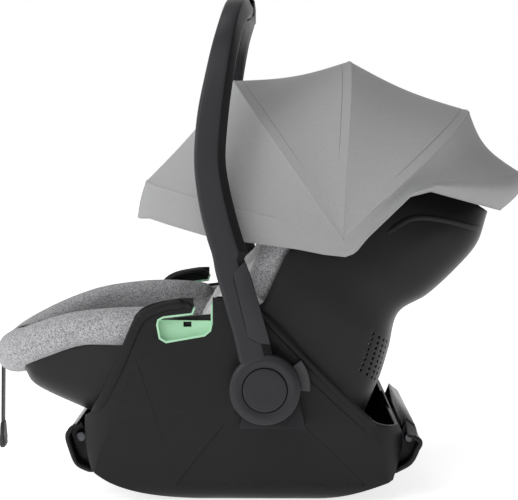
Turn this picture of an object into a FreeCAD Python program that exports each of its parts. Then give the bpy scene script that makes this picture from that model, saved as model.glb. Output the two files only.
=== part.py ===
"""Infant car seat: rocking cradle, bucket seat, swinging carry handle and folding canopy.

Frame: +X towards the head end, -X towards the feet, +Y the occupant's right, +Z up.
The origin is on the floor, below the middle of the whole seat. All sizes are millimetres.
"""

import FreeCAD, Part

import math
import os

from FreeCAD import Placement, Rotation, Vector

SIZES = {
    # Cradle: the rocking tub that carries everything.
    "cradle_half_width": 199.0,
    "rocker_half_width": 148.0,
    "panel_wall": 4.0,
    "front_wall_height": 88.0,
    # Bumpers and docking bars at both ends of the cradle.
    "bumper_half_width": 150.0,
    "bumper_wall": 3.0,
    "dock_bar_radius": 6.0,
    "dock_bar_z": 71.0,
    "front_bar_x": -213.0,
    "rear_bar_x": 182.5,
    # Bucket seat.
    "shell_wall": 3.5,
    "shell_side_gap": 9.0,
    "foam_depth": 16.0,
    "cover_depth": 11.0,
    "insert_depth": 16.0,
    "insert_width": 183.0,
    "layer_gap": 0.4,
    # Carry handle and its hubs.
    "hub_x": 8.9,
    "hub_z": 143.5,
    "hub_radius": 40.5,
    "hub_depth": 18.5,
    "arm_gap": 4.5,
    "arm_depth": 17.0,
    "button_radius": 25.0,
    "button_depth": 9.0,
    "button_clearance": 0.3,
    "gear_radius": 15.0,
    "gear_clearance": 0.6,
    "grip_half_width": 62.0,
    "grip_wall": 2.0,
    # Release levers and stroller adapter sockets.
    "lever_inner_radius": 40.3,
    "lever_outer_radius": 52.0,
    "lever_gap": 1.0,
    "lever_depth": 6.5,
    "socket_depth": 23.5,
    "socket_mouth_length": 54.0,
    "socket_mouth_width": 7.0,
    "latch_length": 6.0,
    "latch_width": 5.0,
    "latch_height": 6.0,
    "latch_x": 40.0,
    "latch_z": 108.0,
    # Belt guides in the side panels.
    "guide_wall": 2.2,
    "guide_depth": 11.0,
    # Canopy bows, all on one pin on each side.
    "canopy_pivot_x": 97.0,
    "canopy_pivot_z": 315.0,
    "bow_wall": 2.2,
    "bow_width": 6.0,
    "bow_gap": 0.3,
    "bow_eye_radius": 9.0,
    "pin_radius": 3.5,
    "pin_clearance": 0.06,
    "fabric_wall": 2.4,
    # Harness.
    "strap_width": 38.0,
    "strap_wall": 1.6,
    "shoulder_strap_y": 46.0,
    # Harness adjuster at the foot end, and the strap that hangs from it.
    "adjuster_x": -292.0,
    "adjuster_z": 180.0,
    "adjuster_length": 32.0,
    "adjuster_width": 34.0,
    "tail_strap_width": 20.0,
    "tail_strap_wall": 1.8,
    # Headrest, on its slide up the backrest: how far past the insert it starts and how far it stands
    # off the middle of the cover, so that its corners rest on the cover's sides.
    "headrest_start": 3.2,
    "headrest_lift": 2.2,
    "headrest_lean": 44.0,
    "headrest_length": 76.0,
    "headrest_half_width": 100.0,
    "headrest_side_depth": 60.0,
    "headrest_wall": 3.0,
    # Buckle.
    "buckle_x": -50.0,
    "buckle_z": 94.0,
    "buckle_length": 44.0,
    "buckle_width": 42.0,
    "buckle_depth": 14.0,
}

doc = FreeCAD.newDocument("InfantCarSeat")
sheet = doc.addObject("Spreadsheet::Sheet", "Sizes")
for row, (alias, value) in enumerate(SIZES.items(), start=1):
    sheet.set(f"A{row}", alias)
    sheet.set(f"B{row}", str(value))
    sheet.setAlias(f"B{row}", alias)
doc.recompute()

NODES = {}


def size(alias):
    """The value of one cell of the size sheet."""
    return float(sheet.get(alias))


def node(name, thing):
    """Names a finished sub-part, which is also the name of its file."""
    thing.Label = name
    NODES[name] = thing
    return thing


def bind(thing, expressions):
    """Ties properties of an object to cells of the size sheet."""
    for prop, expression in expressions.items():
        thing.setExpression(prop, expression)
    return thing


def run(points, start_tangent=None, end_tangent=None):
    """One stretch of an outline: a line through two points, or a smooth curve through more."""
    vectors = [Vector(*point) for point in points]
    if len(vectors) == 2:
        return Part.LineSegment(*vectors)
    curve = Part.BSplineCurve()
    if start_tangent or end_tangent:
        ends = {}
        if start_tangent:
            ends["InitialTangent"] = Vector(*start_tangent)
        if end_tangent:
            ends["FinalTangent"] = Vector(*end_tangent)
        curve.interpolate(Points=vectors, **ends)
    else:
        curve.interpolate(Points=vectors)
    return curve


def polygon(points):
    """Straight runs round a closed outline."""
    closed = points + points[:1]
    return [run([(*a, 0), (*b, 0)]) for a, b in zip(closed, closed[1:])]


def pad(name, plane, edges, start, length):
    """A body padded along a base plane's normal, which is -Y for the XZ plane."""
    body = doc.addObject("PartDesign::Body", name)
    support = next(f for f in body.Origin.OriginFeatures if f.Role == plane)
    sketch = body.newObject("Sketcher::SketchObject", name + "_sketch")
    sketch.AttachmentSupport = [(support, "")]
    sketch.MapMode = "FlatFace"
    sketch.addGeometry(edges, False)
    sketch.setExpression("AttachmentOffset.Base.z", start)
    feature = body.newObject("PartDesign::Pad", name + "_pad")
    feature.Profile = sketch
    feature.setExpression("Length", length)
    return body


def side_disc(name, radius, start, length, x="Sizes.hub_x", z="Sizes.hub_z"):
    """A cylinder whose axis runs outwards, towards -Y, from the distance start."""
    disc = doc.addObject("Part::Cylinder", name)
    disc.Placement = Placement(Vector(), Rotation(Vector(1, 0, 0), 90))
    bind(disc, {
        "Radius": radius,
        "Height": length,
        "Placement.Base.x": x,
        "Placement.Base.y": f"-({start})",
        "Placement.Base.z": z,
    })
    return disc


def cut(name, base, tool):
    result = doc.addObject("Part::Cut", name)
    result.Base, result.Tool = base, tool
    return result


def fuse(name, things):
    result = doc.addObject("Part::MultiFuse", name)
    result.Shapes = things
    return result


def common(name, things):
    result = doc.addObject("Part::MultiCommon", name)
    result.Shapes = things
    return result


def mirrored(name, left):
    """The occupant's right-hand copy of a left-hand piece."""
    result = doc.addObject("Part::Mirroring", name)
    result.Source = left
    result.Normal = Vector(0, 1, 0)
    return result


def pair(name, left):
    """Both sides of a small repeated piece, as two solids in one node."""
    node(name, fuse(name, [left, mirrored(name + "_other", left)]))


def both_sides(name, left):
    node(name + "_left", left)
    node(name + "_right", mirrored(name + "_right", left))


def made(name, shape):
    """An object whose shape is worked out in code."""
    feature = doc.addObject("Part::Feature", name)
    feature.Shape = shape
    return feature


def loft(wires, ruled=True):
    return Part.makeLoft(wires, True, ruled)


def wire(edges):
    return Part.Wire([edge.toShape() for edge in edges])


def offset_path(points, distance):
    """The same open path, moved to its left by a distance, with mitred corners."""
    normals = []
    for (ax, az), (bx, bz) in zip(points, points[1:]):
        length = math.hypot(bx - ax, bz - az)
        normals.append(((az - bz) / length, (bx - ax) / length))
    moved = []
    for index, (x, z) in enumerate(points):
        before = normals[max(index - 1, 0)]
        after = normals[min(index, len(normals) - 1)]
        mx, mz = before[0] + after[0], before[1] + after[1]
        scale = 2 / (mx * mx + mz * mz)
        moved.append((x + mx * scale * distance, z + mz * scale * distance))
    return moved


def band(points, distance):
    """A closed outline: a path and its offset copy."""
    return polygon(points + offset_path(points, distance)[::-1])


# ---------------------------------------------------------------- cradle
# Injection-moulded tub: tall side panels with belt hooks, a low front wall and a rocking floor.

FLAT_FRONT, FLAT_REAR = -62.0, 60.0
OPEN_TOP = 300.0


def cradle_side(inset, top_open):
    """Side outline of the tub; the cavity's outline is inset and open at the top and front."""
    floor = inset
    front_run = [(-196, 40), (-203, 70), (-204, 103)]
    rear_run = [(166, 92), (172, 78), (169, 52), (160, 27)]
    under_rear = [(160, 27), (138, 18), (109, 8), (85, 2.4), (FLAT_REAR, 0)]
    under_front = [(FLAT_FRONT, 0), (-102, 4), (-143, 12), (-176, 25), (-196, 40)]
    flat = [(FLAT_REAR, 0), (FLAT_FRONT, 0)]

    def moved(points, dx, dz):
        return [(x + dx, z + dz, 0) for x, z in points]

    if top_open:
        wall_top = size("front_wall_height")
        rear = moved(rear_run, -floor, 0)
        low_rear = moved(under_rear, 0, floor)
        low_front = moved(under_front, 0, floor)
        front = moved(front_run[:2] + [(-204, wall_top)], floor, 0)
        low_rear[0] = rear[-1]
        low_front[-1] = front[0]
        return [
            run(rear),
            run(low_rear, end_tangent=(-1, 0, 0)),
            run([low_rear[-1], low_front[0]]),
            run(low_front, start_tangent=(-1, 0, 0)),
            run(front),
            run([front[-1], (-260, wall_top, 0)]),
            run([(-260, wall_top, 0), (-260, OPEN_TOP, 0)]),
            run([(-260, OPEN_TOP, 0), (rear[0][0], OPEN_TOP, 0)]),
            run([(rear[0][0], OPEN_TOP, 0), rear[0]]),
        ]
    border = [(-204, 103), (-189, 116), (-178, 139), (-165, 165), (-157, 185), (-149, 205), (-141, 225)]
    hook = [(-141, 225), (-127, 237), (-107, 243), (-88, 246)]
    rim = [(-12, 243), (6.6, 230), (59, 176), (100, 135), (142, 97), (166, 92)]
    return [
        run(moved(border, 0, 0)),
        run(moved(hook, 0, 0)),
        run([(-88, 246, 0), (-50, 247, 0)]),
        run([(-50, 247, 0), (-12, 243, 0)]),
        run(moved(rim, 0, 0)),
        run(moved(rear_run, 0, 0)),
        run(moved(under_rear, 0, 0), end_tangent=(-1, 0, 0)),
        run(moved(flat, 0, 0)),
        run(moved(under_front, 0, 0), start_tangent=(-1, 0, 0)),
        run(moved(front_run, 0, 0)),
    ]


def cradle_section(inset):
    """Cross-section of the tub, seen from the foot end: the sides lean out towards the top."""
    half, rocker = size("cradle_half_width") - inset, size("rocker_half_width") - inset
    side = [
        (rocker, inset, 0),
        (rocker + 0.3 * (half - rocker), inset + 9, 0),
        (half - 25, 46, 0),
        (half - 15, 92, 0),
        (half - 8, 142, 0),
        (half - 3, 195, 0),
        (half, OPEN_TOP + inset, 0),
    ]
    other = [(-y, z, 0) for y, z, _ in side[::-1]]
    return [run(side), run([side[-1], other[0]]), run(other), run([other[-1], side[0]])]


def cradle_plan(inset):
    """Plan outline of the tub: rounded ends."""
    half = size("cradle_half_width") - inset
    front = [(-216 + inset, half - 62, 0), (-200, half - 34, 0), (-172, half - 15, 0), (-125, half - 4, 0),
             (-60, half, 0)]
    rear = [(70, half, 0), (115, half - 8, 0), (152, half - 27, 0), (176, half - 60, 0),
            (184 - inset, half - 95, 0)]

    def flip(points):
        return [(x, -y, 0) for x, y, _ in points[::-1]]

    return [
        run(front, end_tangent=(1, 0, 0)),
        run([front[-1], rear[0]]),
        run(rear, start_tangent=(1, 0, 0)),
        run([rear[-1], flip(rear)[0]]),
        run(flip(rear), end_tangent=(-1, 0, 0)),
        run([flip(rear)[-1], flip(front)[0]]),
        run(flip(front), start_tangent=(-1, 0, 0)),
        run([flip(front)[-1], front[0]]),
    ]


def cradle_solid(name, inset, top_open):
    side = pad(name + "_side", "XZ_Plane", cradle_side(inset, top_open), "-240", "480")
    section = pad(name + "_section", "YZ_Plane", cradle_section(inset), "-280", "560")
    plan = pad(name + "_plan", "XY_Plane", cradle_plan(inset), "-10", "330")
    return common(name, [side, section, plan])


# The mint guide's outline, from the hook's tip, under the hook, round the pocket and up the post.
GUIDE_PATH = [
    (-73.0, 236.0), (-75.5, 229.0), (-108.0, 225.0), (-114.5, 221.5), (-116.0, 215.0), (-113.0, 199.0),
    (-105.0, 194.0), (-60.0, 202.0), (-53.0, 208.0), (-51.0, 217.0), (-51.0, 240.0),
]


def build_cradle(outer):
    cavity = cradle_solid("cradle_cavity", size("panel_wall"), True)
    tub = cut("cradle_tub", outer, cavity)
    reach = "2 * (Sizes.cradle_half_width + 20)"
    start = "-(Sizes.cradle_half_width + 20)"
    pocket = polygon(GUIDE_PATH + [(-51.0, 260.0), (-73.0, 260.0)])
    pockets = pad("belt_pockets", "XZ_Plane", pocket, start, reach)
    hub_holes = doc.addObject("Part::Cylinder", "hub_holes")
    hub_holes.Placement = Placement(Vector(), Rotation(Vector(1, 0, 0), 90))
    bind(hub_holes, {
        "Radius": "Sizes.hub_radius - 0.5",
        "Height": reach,
        "Placement.Base.x": "Sizes.hub_x",
        "Placement.Base.y": "Sizes.cradle_half_width + 20",
        "Placement.Base.z": "Sizes.hub_z",
    })
    slot = doc.addObject("Part::Box", "hand_slot")
    slot.Placement = Placement(Vector(), Rotation(Vector(0, 1, 0), 35))
    bind(slot, {
        "Length": "30", "Width": "120", "Height": "12",
        "Placement.Base.x": "155", "Placement.Base.y": "-60", "Placement.Base.z": "84",
    })
    return node("cradle_shell", cut("cradle", tub, fuse("cradle_openings", [pockets, hub_holes, slot])))


def build_bumpers(cradle_outer):
    """Moulded scoops round the docking bars, with two ribs that hold each bar."""
    front = [(-190, 30), (-207, 34), (-217, 40), (-221, 48), (-226, 63), (-229, 73), (-227, 80), (-215, 91)]
    rear = [(180, 96), (193, 85), (196, 76), (193.5, 64), (188, 49), (181, 40), (171, 35), (155, 27)]
    for name, path, x in (("front", front, "Sizes.front_bar_x"), ("rear", rear, "Sizes.rear_bar_x")):
        skin = pad(f"{name}_scoop", "XZ_Plane", band(path, -size("bumper_wall")),
                   "-Sizes.bumper_half_width", "2 * Sizes.bumper_half_width")
        inner = offset_path(path, -0.5 * size("bumper_wall"))
        ribs = []
        for index, place in enumerate(("-124", "116")):
            ribs.append(pad(f"{name}_rib_{index}", "XZ_Plane", polygon(inner), place, "8"))
        bar = side_disc(f"{name}_bar_solid", "Sizes.dock_bar_radius", "-(Sizes.bumper_half_width - 16)",
                        "2 * (Sizes.bumper_half_width - 16)", x, "Sizes.dock_bar_z")
        whole = fuse(f"{name}_scoop_ribs", [skin, *ribs])
        clear = cut(f"{name}_scoop_clear", whole, cradle_outer)
        node(f"{name}_bumper", cut(f"{name}_scoop_done", clear, bar))
        node(f"{name}_dock_bar", bar)


def build_belt_guides():
    """Mint plastic liners of the lap-belt pockets."""
    outer_y = "Sizes.cradle_half_width - 1.5"
    strip = pad("guide_strip", "XZ_Plane", band(GUIDE_PATH, size("guide_wall")),
                f"{outer_y} - Sizes.guide_depth", "Sizes.guide_depth")
    back = [(-114.6, 220.0), (-115.0, 215.0), (-112.0, 200.0), (-105.0, 195.0), (-60.0, 203.0),
            (-54.0, 208.5), (-52.0, 219.0)]
    wall = pad("guide_back", "XZ_Plane", polygon(back), f"{outer_y} - Sizes.guide_depth", "Sizes.guide_wall")
    hole = doc.addObject("Part::Box", "guide_hole")
    bind(hole, {
        "Length": "9.3", "Width": "12", "Height": "6.1",
        "Placement.Base.x": "-85.2", "Placement.Base.y": "8 - Sizes.cradle_half_width",
        "Placement.Base.z": "211.8",
    })
    both_sides("belt_guide", cut("guide_left", fuse("guide_body", [strip, wall]), hole))


# ---------------------------------------------------------------- bucket seat
# Each station is one cross-section of the bucket: its lowest point on the middle plane (x, z), the
# point its rim reaches on the side (x, z), how much narrower its rim is than the widest part, and
# the half-width of its flat floor.

STATIONS = [
    ((-285, 146), (-271, 172), 48, 85),
    ((-268, 125), (-247, 174), 36, 95),
    ((-204, 96), (-190, 190), 20, 108),
    ((-120, 60), (-106, 218), 6, 118),
    ((-30, 38), (-36, 228), 0, 122),
    ((50, 37), (-14, 232), 0, 122),
    ((110, 62), (0, 236), 0, 122),
    ((145, 128), (9, 243), 0, 122),
    ((160, 172), (23, 273), 0, 120),
    ((172, 217), (38, 300), 3, 118),
    ((208, 239), (75, 333), 10, 112),
    ((245, 272), (122, 360), 20, 102),
    ((270, 301), (172, 372), 36, 90),
    ((283, 338), (236, 366), 66, 70),
]
# Where the side of the bucket stands, in shares: sideways from floor edge to rim, and up.
SIDE_SHAPE = [(0.0, 0.03), (0.5, 0.13), (0.8, 0.35), (0.94, 0.65), (1.0, 1.0)]


def seat_half_width():
    return size("cradle_half_width") - size("panel_wall") - size("shell_side_gap")


def station_frame(station):
    """The bottom point, the direction to the rim and the depth of one station."""
    (x, z), (rim_x, rim_z), _, _ = station
    depth = math.hypot(rim_x - x, rim_z - z)
    return (x, z), ((rim_x - x) / depth, (rim_z - z) / depth), depth


def place(station, y, height):
    """A point of a station's plane: sideways from the middle and up from the bottom."""
    (x, z), (dx, dz), _ = station_frame(station)
    return (x + dx * height, y, z + dz * height)


def section_curve(station, inset, drop):
    """The U-shaped curve of one layer of the bucket, from the left rim to the right rim."""
    _, _, narrower, floor = station
    _, _, depth = station_frame(station)
    rim = seat_half_width() - narrower - inset
    base = floor - 0.4 * inset
    top = depth - drop
    half = [(0.5 * base, inset)]
    half += [(base + (rim - base) * out, inset + (top - inset) * up) for out, up in SIDE_SHAPE]
    points = [(-y, s) for y, s in half[::-1]] + [(0.0, inset)] + half
    return [place(station, y, s) for y, s in points]


def layer(stations, near, far, drop=0.0, far_drop=None):
    """One closed layer of the bucket, between two depths from the outside."""
    wires = []
    for station in stations:
        outside = section_curve(station, near, drop)
        inside = section_curve(station, far, drop if far_drop is None else far_drop)[::-1]
        wires.append(wire([
            run(outside), run([outside[-1], inside[0]]), run(inside), run([inside[-1], outside[0]]),
        ]))
    return loft(wires)


def envelope(stations):
    """The bucket's outside, filled in up to its rim."""
    wires = []
    for station in stations:
        outside = section_curve(station, 0.0, 0.0)
        wires.append(wire([run(outside), run([outside[-1], outside[0]])]))
    return loft(wires)


def ribbon(stations, near, far, y_from, y_to):
    """A flat strip that follows the inside of the bucket between two distances from the middle."""
    wires = []
    for station in stations:
        corners = [(y_from, near), (y_to, near), (y_to, far), (y_from, far)]
        points = [place(station, y, s) for y, s in corners]
        wires.append(wire([run([a, b]) for a, b in zip(points, points[1:] + points[:1])]))
    return loft(wires)


def depths():
    """How deep each layer of the seat starts and ends, from the shell's outside inwards."""
    gap = size("layer_gap")
    shell = size("shell_wall")
    foam = shell + gap + size("foam_depth")
    cover = foam + gap + size("cover_depth")
    insert = cover + 1.0 + size("insert_depth")
    return {"shell": (0.0, shell), "foam": (shell + gap, foam), "cover": (foam + gap, cover),
            "insert": (cover + 1.0, insert), "strap": (insert + gap, insert + gap + size("strap_wall"))}


def build_seat():
    deep = depths()
    node("seat_shell", made("shell", layer(STATIONS, *deep["shell"])))
    node("foam_liner", made("foam", layer(STATIONS[1:13], *deep["foam"], drop=3)))
    node("leg_cover", made("leg_pad", layer(STATIONS[1:5], *deep["cover"], drop=2)))
    back = layer(STATIONS[5:13], *deep["cover"], drop=2)
    seat_joint = [STATIONS[4], STATIONS[5]]
    middle = layer(seat_joint, deep["cover"][0], deep["cover"][1], drop=2)
    node("seat_pad", made("hip_pad", middle))
    node("backrest_cover", made("back_pad", back))
    return made("bucket_envelope", envelope(STATIONS))


def build_foot_end():
    """The padded roll over the foot end, and the bolsters on the two sides of the legs."""
    # Outline of the roll on the middle plane, and how it shrinks towards its ends.
    roll = [(-300, 164), (-304, 137), (-316, 134), (-326, 142), (-330, 154), (-324, 169), (-308, 183),
            (-288, 188), (-267, 181), (-268, 168)]
    wires = []
    for y, share, shift in ((-128, 0.62, 13), (-95, 0.86, 8), (-45, 1.0, 0.0), (0, 0.94, 1.8),
                            (45, 1.0, 0.0), (95, 0.86, 8), (128, 0.62, 13)):
        points = [(-292 + (x + 292) * share + shift, y, 163 + (z - 163) * share + shift / 8) for x, z in roll]
        wires.append(wire([run(points + points[:1])]))
    padding = made("roll", loft(wires))
    housing = doc.addObject("Part::Box", "adjuster_block")
    bind(housing, {
        "Length": "Sizes.adjuster_length", "Width": "Sizes.adjuster_width", "Height": "12",
        "Placement.Base.x": "Sizes.adjuster_x", "Placement.Base.y": "-Sizes.adjuster_width / 2",
        "Placement.Base.z": "Sizes.adjuster_z",
    })
    pocket = doc.addObject("Part::Box", "button_pocket")
    bind(pocket, {
        "Length": "Sizes.adjuster_length - 12", "Width": "Sizes.adjuster_width - 12", "Height": "12",
        "Placement.Base.x": "Sizes.adjuster_x + 6", "Placement.Base.y": "6 - Sizes.adjuster_width / 2",
        "Placement.Base.z": "Sizes.adjuster_z + 5",
    })
    button = doc.addObject("Part::Box", "button_block")
    bind(button, {
        "Length": "Sizes.adjuster_length - 12.6", "Width": "Sizes.adjuster_width - 12.6", "Height": "6",
        "Placement.Base.x": "Sizes.adjuster_x + 6.3", "Placement.Base.y": "6.3 - Sizes.adjuster_width / 2",
        "Placement.Base.z": "Sizes.adjuster_z + 8.2",
    })
    node("foot_roll", cut("roll_done", padding, housing))
    node("adjuster_housing", cut("adjuster_done", housing, pocket))
    node("adjuster_button", button)
    # Bolster sections: x, bottom, crest, inner y and outer y.
    half = seat_half_width()
    bolster = [
        (-248, 174.6, 214, half - 70, half - 28.6),
        (-239, 176.6, 220, half - 66, half - 22.6),
        (-200, 189.5, 228, half - 55, half - 13.6),
        (-150, 207.5, 231, half - 45, half - 6.6),
        (-108, 217.6, 231, half - 38, half - 2.6),
        (-76, 223.6, 230, half - 34, half - 4.6),
    ]
    wires = []
    for x, low, crest, inner, outer in bolster:
        middle, wide, tall = (inner + outer) / 2, (outer - inner) / 2, (crest - low) / 2
        ring = []
        for step in range(8):
            angle = math.radians(45 * step + 22.5)
            y = middle + 1.08 * wide * math.cos(angle)
            ring.append((x, -y, low + tall + 1.08 * tall * math.sin(angle)))
        wires.append(wire([run([a, b]) for a, b in zip(ring, ring[1:] + ring[:1])]))
    both_sides("leg_bolster", made("bolster", loft(wires)))


def build_newborn_insert(deep):
    """Loose newborn insert: a seat part, a back part and two side wings."""
    near, far = deep["insert"]
    half = size("insert_width") / 2
    floor = ribbon(STATIONS[3:6], near, far, -half, half)
    back = ribbon(STATIONS[5:10], near, far, -half, half)
    node("newborn_insert", made("insert", floor.fuse(back).removeSplitter()))
    # Wings: x and z on the outer and the inner edge, thin at both ends.
    edge = [(-92, 108, 36), (-92, 150, 66), (-84, 198, 84), (-62, 240, 92), (-34, 282, 84), (-8, 314, 60)]
    wires = []
    for x, z, broad in edge:
        ring = [(x, z), (x + broad, z - 0.62 * broad)]
        points = [(*ring[0], -half - 0.5), (*ring[1], -half - 3), (*ring[1], -half - 27),
                  (*ring[0], -half - 26)]
        points = [(px, py, pz) for px, pz, py in points]
        wires.append(wire([run([a, b]) for a, b in zip(points, points[1:] + points[:1])]))
    pair("insert_wings", made("wing", loft(wires)))


def build_bosses(bucket):
    """Four screw bosses that carry the bucket on the cradle's floor, and their screws."""
    floor = size("panel_wall")
    bosses, screws = [], []
    for x in (-50.0, 50.0):
        for y in (-72.0, 72.0):
            bosses.append(Part.makeCylinder(9, 90, Vector(x, y, floor)))
            screws.append(Part.makeCylinder(3, 16, Vector(x, y, floor + 3)))
    bars = made("boss_bars", Part.makeCompound(bosses))
    bores = made("screw_space", Part.makeCompound(screws))
    node("shell_bosses", cut("boss_bores", cut("boss_below_seat", bars, bucket), bores))
    node("shell_screws", made("screws", Part.makeCompound([screw.copy() for screw in screws])))


# ---------------------------------------------------------------- hubs and handle
# The plane where each hub turns against its fixed housing, outside the side panels.

FACE = "Sizes.cradle_half_width + Sizes.arm_gap"


def build_hubs():
    """Fixed hub housings, the release buttons and the lock gears behind them."""
    drum = side_disc("housing_drum", "Sizes.hub_radius - 0.5", f"{FACE} - 17", "16.7")
    pocket = side_disc("housing_pocket", "Sizes.gear_radius + Sizes.gear_clearance", f"{FACE} - 15", "20")
    both_sides("hub_housing", cut("housing", drum, pocket))
    disc = side_disc("button_disc", "Sizes.button_radius", f"{FACE} + 9.8", "Sizes.button_depth")
    both_sides("hub_button", disc)
    gear = side_disc("gear_blank", "Sizes.gear_radius", f"{FACE} - 8", "17.5")
    notches = []
    for step in range(8):
        angle = math.radians(45 * step)
        notch = side_disc(f"gear_notch_{step}", "2.6", f"{FACE} - 9", "20",
                          f"Sizes.hub_x + Sizes.gear_radius * {math.cos(angle):.6f}",
                          f"Sizes.hub_z + Sizes.gear_radius * {math.sin(angle):.6f}")
        notches.append(notch)
    both_sides("lock_gear", cut("gear", gear, fuse("gear_notches", notches)))


# Middle line of the handle: x, distance from the middle plane, z, width along x and thickness.
HANDLE_LINE = [
    (3.0, 0.0, 173.0, 37.0, 17.0),
    (-9.0, 0.0, 205.0, 37.5, 17.0),
    (-22.5, 0.0, 255.0, 38.5, 17.0),
    (-38.5, 0.0, 318.0, 38.0, 17.0),
    (-50.0, 0.0, 372.0, 36.0, 17.0),
    (-53.6, 0.5, 420.0, 34.5, 17.0),
    (-49.5, 4.0, 468.0, 34.0, 18.0),
    (-41.5, 14.0, 513.0, 33.0, 20.0),
    (-33.5, 34.0, 549.0, 32.0, 22.0),
    (-27.0, 64.0, 572.0, 31.0, 24.0),
    (-23.0, 107.0, 584.5, 30.0, 26.0),
    (-21.5, 157.0, 588.5, 30.0, 27.0),
]


def handle_sections(grow=0.0):
    """Rounded rectangles across the handle's middle line, from the left hub to the right one."""
    arm_y = size("cradle_half_width") + size("arm_gap") + size("arm_depth") / 2
    left = [(x, -(arm_y - inward), z, across, deep) for x, inward, z, across, deep in HANDLE_LINE]
    top = (-21.0, 0.0, 589.5, 30.0, 27.0)
    line = left + [top] + [(x, -y, z, across, deep) for x, y, z, across, deep in left[::-1]]
    spots = [Vector(*item[:3]) for item in line]
    wires = []
    for index, (_, _, _, across, deep) in enumerate(line):
        along = spots[min(index + 1, len(spots) - 1)] - spots[max(index - 1, 0)]
        along.normalize()
        if index == 0:
            along = Vector(-0.35, 0, 0.94)
        if index == len(spots) - 1:
            along = Vector(0.35, 0, -0.94)
        thick = Vector(0, along.z, -along.y).normalize()
        wide = along.cross(thick).normalize()
        half_w, half_t, corner = across / 2 + grow, deep / 2 + grow, 5.0 + grow
        ring = []
        for sign_w, sign_t in ((1, 1), (-1, 1), (-1, -1), (1, -1)):
            first = (sign_w * half_w, sign_t * (half_t - corner))
            second = (sign_w * (half_w - corner), sign_t * half_t)
            ring += [first, second] if sign_w * sign_t > 0 else [second, first]
        points = [spots[index] + wide * a + thick * b for a, b in ring]
        wires.append(wire([run([tuple(a), tuple(b)]) for a, b in zip(points, points[1:] + points[:1])]))
    return wires


def build_handle():
    """Moulded carry handle: two arms with round hubs and a cross bar with a soft grip."""
    bow = made("handle_bow", loft(handle_sections()))
    hubs, bores = [], []
    for side in ("near", "far"):
        start = FACE if side == "near" else f"-({FACE} + Sizes.hub_depth)"
        hubs.append(side_disc(f"hub_disc_{side}", "Sizes.hub_radius", start, "Sizes.hub_depth"))
        inside = f"{FACE} + 9.8 - 4.5" if side == "near" else f"-({FACE} + 40)"
        bores.append(side_disc(f"button_bore_{side}", "Sizes.button_radius + Sizes.button_clearance", inside,
                               "40 - 5.3"))
        hole = f"{FACE} - 10" if side == "near" else f"-({FACE} + 40)"
        bores.append(side_disc(f"gear_bore_{side}", "Sizes.gear_radius + Sizes.gear_clearance", hole, "50"))
    node("handle_frame", cut("handle", fuse("handle_solid", [bow, *hubs]), fuse("hub_bores", bores)))
    sleeve = made("grip_solid", loft(handle_sections(size("grip_wall"))[9:16]))
    window = doc.addObject("Part::Box", "grip_window")
    bind(window, {
        "Length": "80", "Width": "2 * Sizes.grip_half_width", "Height": "80",
        "Placement.Base.x": "-60", "Placement.Base.y": "-Sizes.grip_half_width", "Placement.Base.z": "550",
    })
    node("handle_grip", cut("grip", common("grip_blank", [sleeve, window]), bow))
    trim = [(-14, 290), (-27, 277), (-22, 256), (-10, 204), (2, 198), (15, 196), (13, 205), (0, 250),
            (-12, 288)]
    plate = pad("arm_trim_plate", "XZ_Plane", polygon(trim), f"{FACE} + Sizes.arm_depth", "1.2")
    both_sides("arm_cover", plate)


def build_adapters(cradle_outer):
    """Stroller adapter sockets below the hubs, open underneath, and the latches in them."""
    outline = [(-20, 96), (55, 96), (49, 130), (-14, 130)]
    block = pad("socket_block", "XZ_Plane", polygon(outline), f"{FACE} - Sizes.socket_depth - 0.5",
                "Sizes.socket_depth")
    mouth = doc.addObject("Part::Box", "socket_mouth")
    bind(mouth, {
        "Length": "Sizes.socket_mouth_length", "Width": "Sizes.socket_mouth_width", "Height": "24",
        "Placement.Base.x": "-10", "Placement.Base.y": f"-({FACE} - 0.5 * Sizes.socket_mouth_width)",
        "Placement.Base.z": "94",
    })
    recess = doc.addObject("Part::Box", "latch_recess")
    bind(recess, {
        "Length": "Sizes.latch_length + 2", "Width": "Sizes.latch_width + 0.6",
        "Height": "Sizes.latch_height + 0.6", "Placement.Base.x": "Sizes.latch_x + 3",
        "Placement.Base.y": f"-({FACE} - 4.2)", "Placement.Base.z": "Sizes.latch_z - 0.3",
    })
    latch = doc.addObject("Part::Box", "latch_block")
    bind(latch, {
        "Length": "Sizes.latch_length", "Width": "Sizes.latch_width", "Height": "Sizes.latch_height",
        "Placement.Base.x": "Sizes.latch_x", "Placement.Base.y": f"-({FACE} - 4.5)",
        "Placement.Base.z": "Sizes.latch_z",
    })
    drum = side_disc("socket_hub_space", "Sizes.hub_radius - 0.5", f"{FACE} - 30", "40")
    outside = cut("socket_outside", block, cradle_outer)
    both_sides("adapter_socket", cut("socket", outside, fuse("socket_spaces", [mouth, recess, drum])))
    both_sides("adapter_latch", latch)


def sector(name, inner, outer, low, high, start, depth):
    """Part of a flat ring round the hub, between two angles above the +X direction."""
    def at(radius, degrees):
        angle = math.radians(degrees)
        return (size("hub_x") + radius * math.cos(angle), size("hub_z") + radius * math.sin(angle), 0)

    middle = (low + high) / 2
    edges = [
        Part.Arc(*(Vector(*at(outer, a)) for a in (low, middle, high))),
        run([at(outer, high), at(inner, high)]),
        Part.Arc(*(Vector(*at(inner, a)) for a in (high, middle, low))),
        run([at(inner, low), at(outer, low)]),
    ]
    return pad(name, "XZ_Plane", edges, start, depth)


def build_levers():
    """Sprung levers that draw the adapter latches back, each a tab on the rear of its hub."""
    lever = sector("lever_tab", size("lever_inner_radius"), size("lever_outer_radius"), -5, 37,
                   f"{FACE} - Sizes.lever_gap - Sizes.lever_depth", "Sizes.lever_depth")
    both_sides("release_lever", lever)


# ---------------------------------------------------------------- canopy
# Four bows on one pin a side: how each leans from the +X direction, how far its top is from the pin
# and which layer its eye has on the pin, counted outwards.

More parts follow.
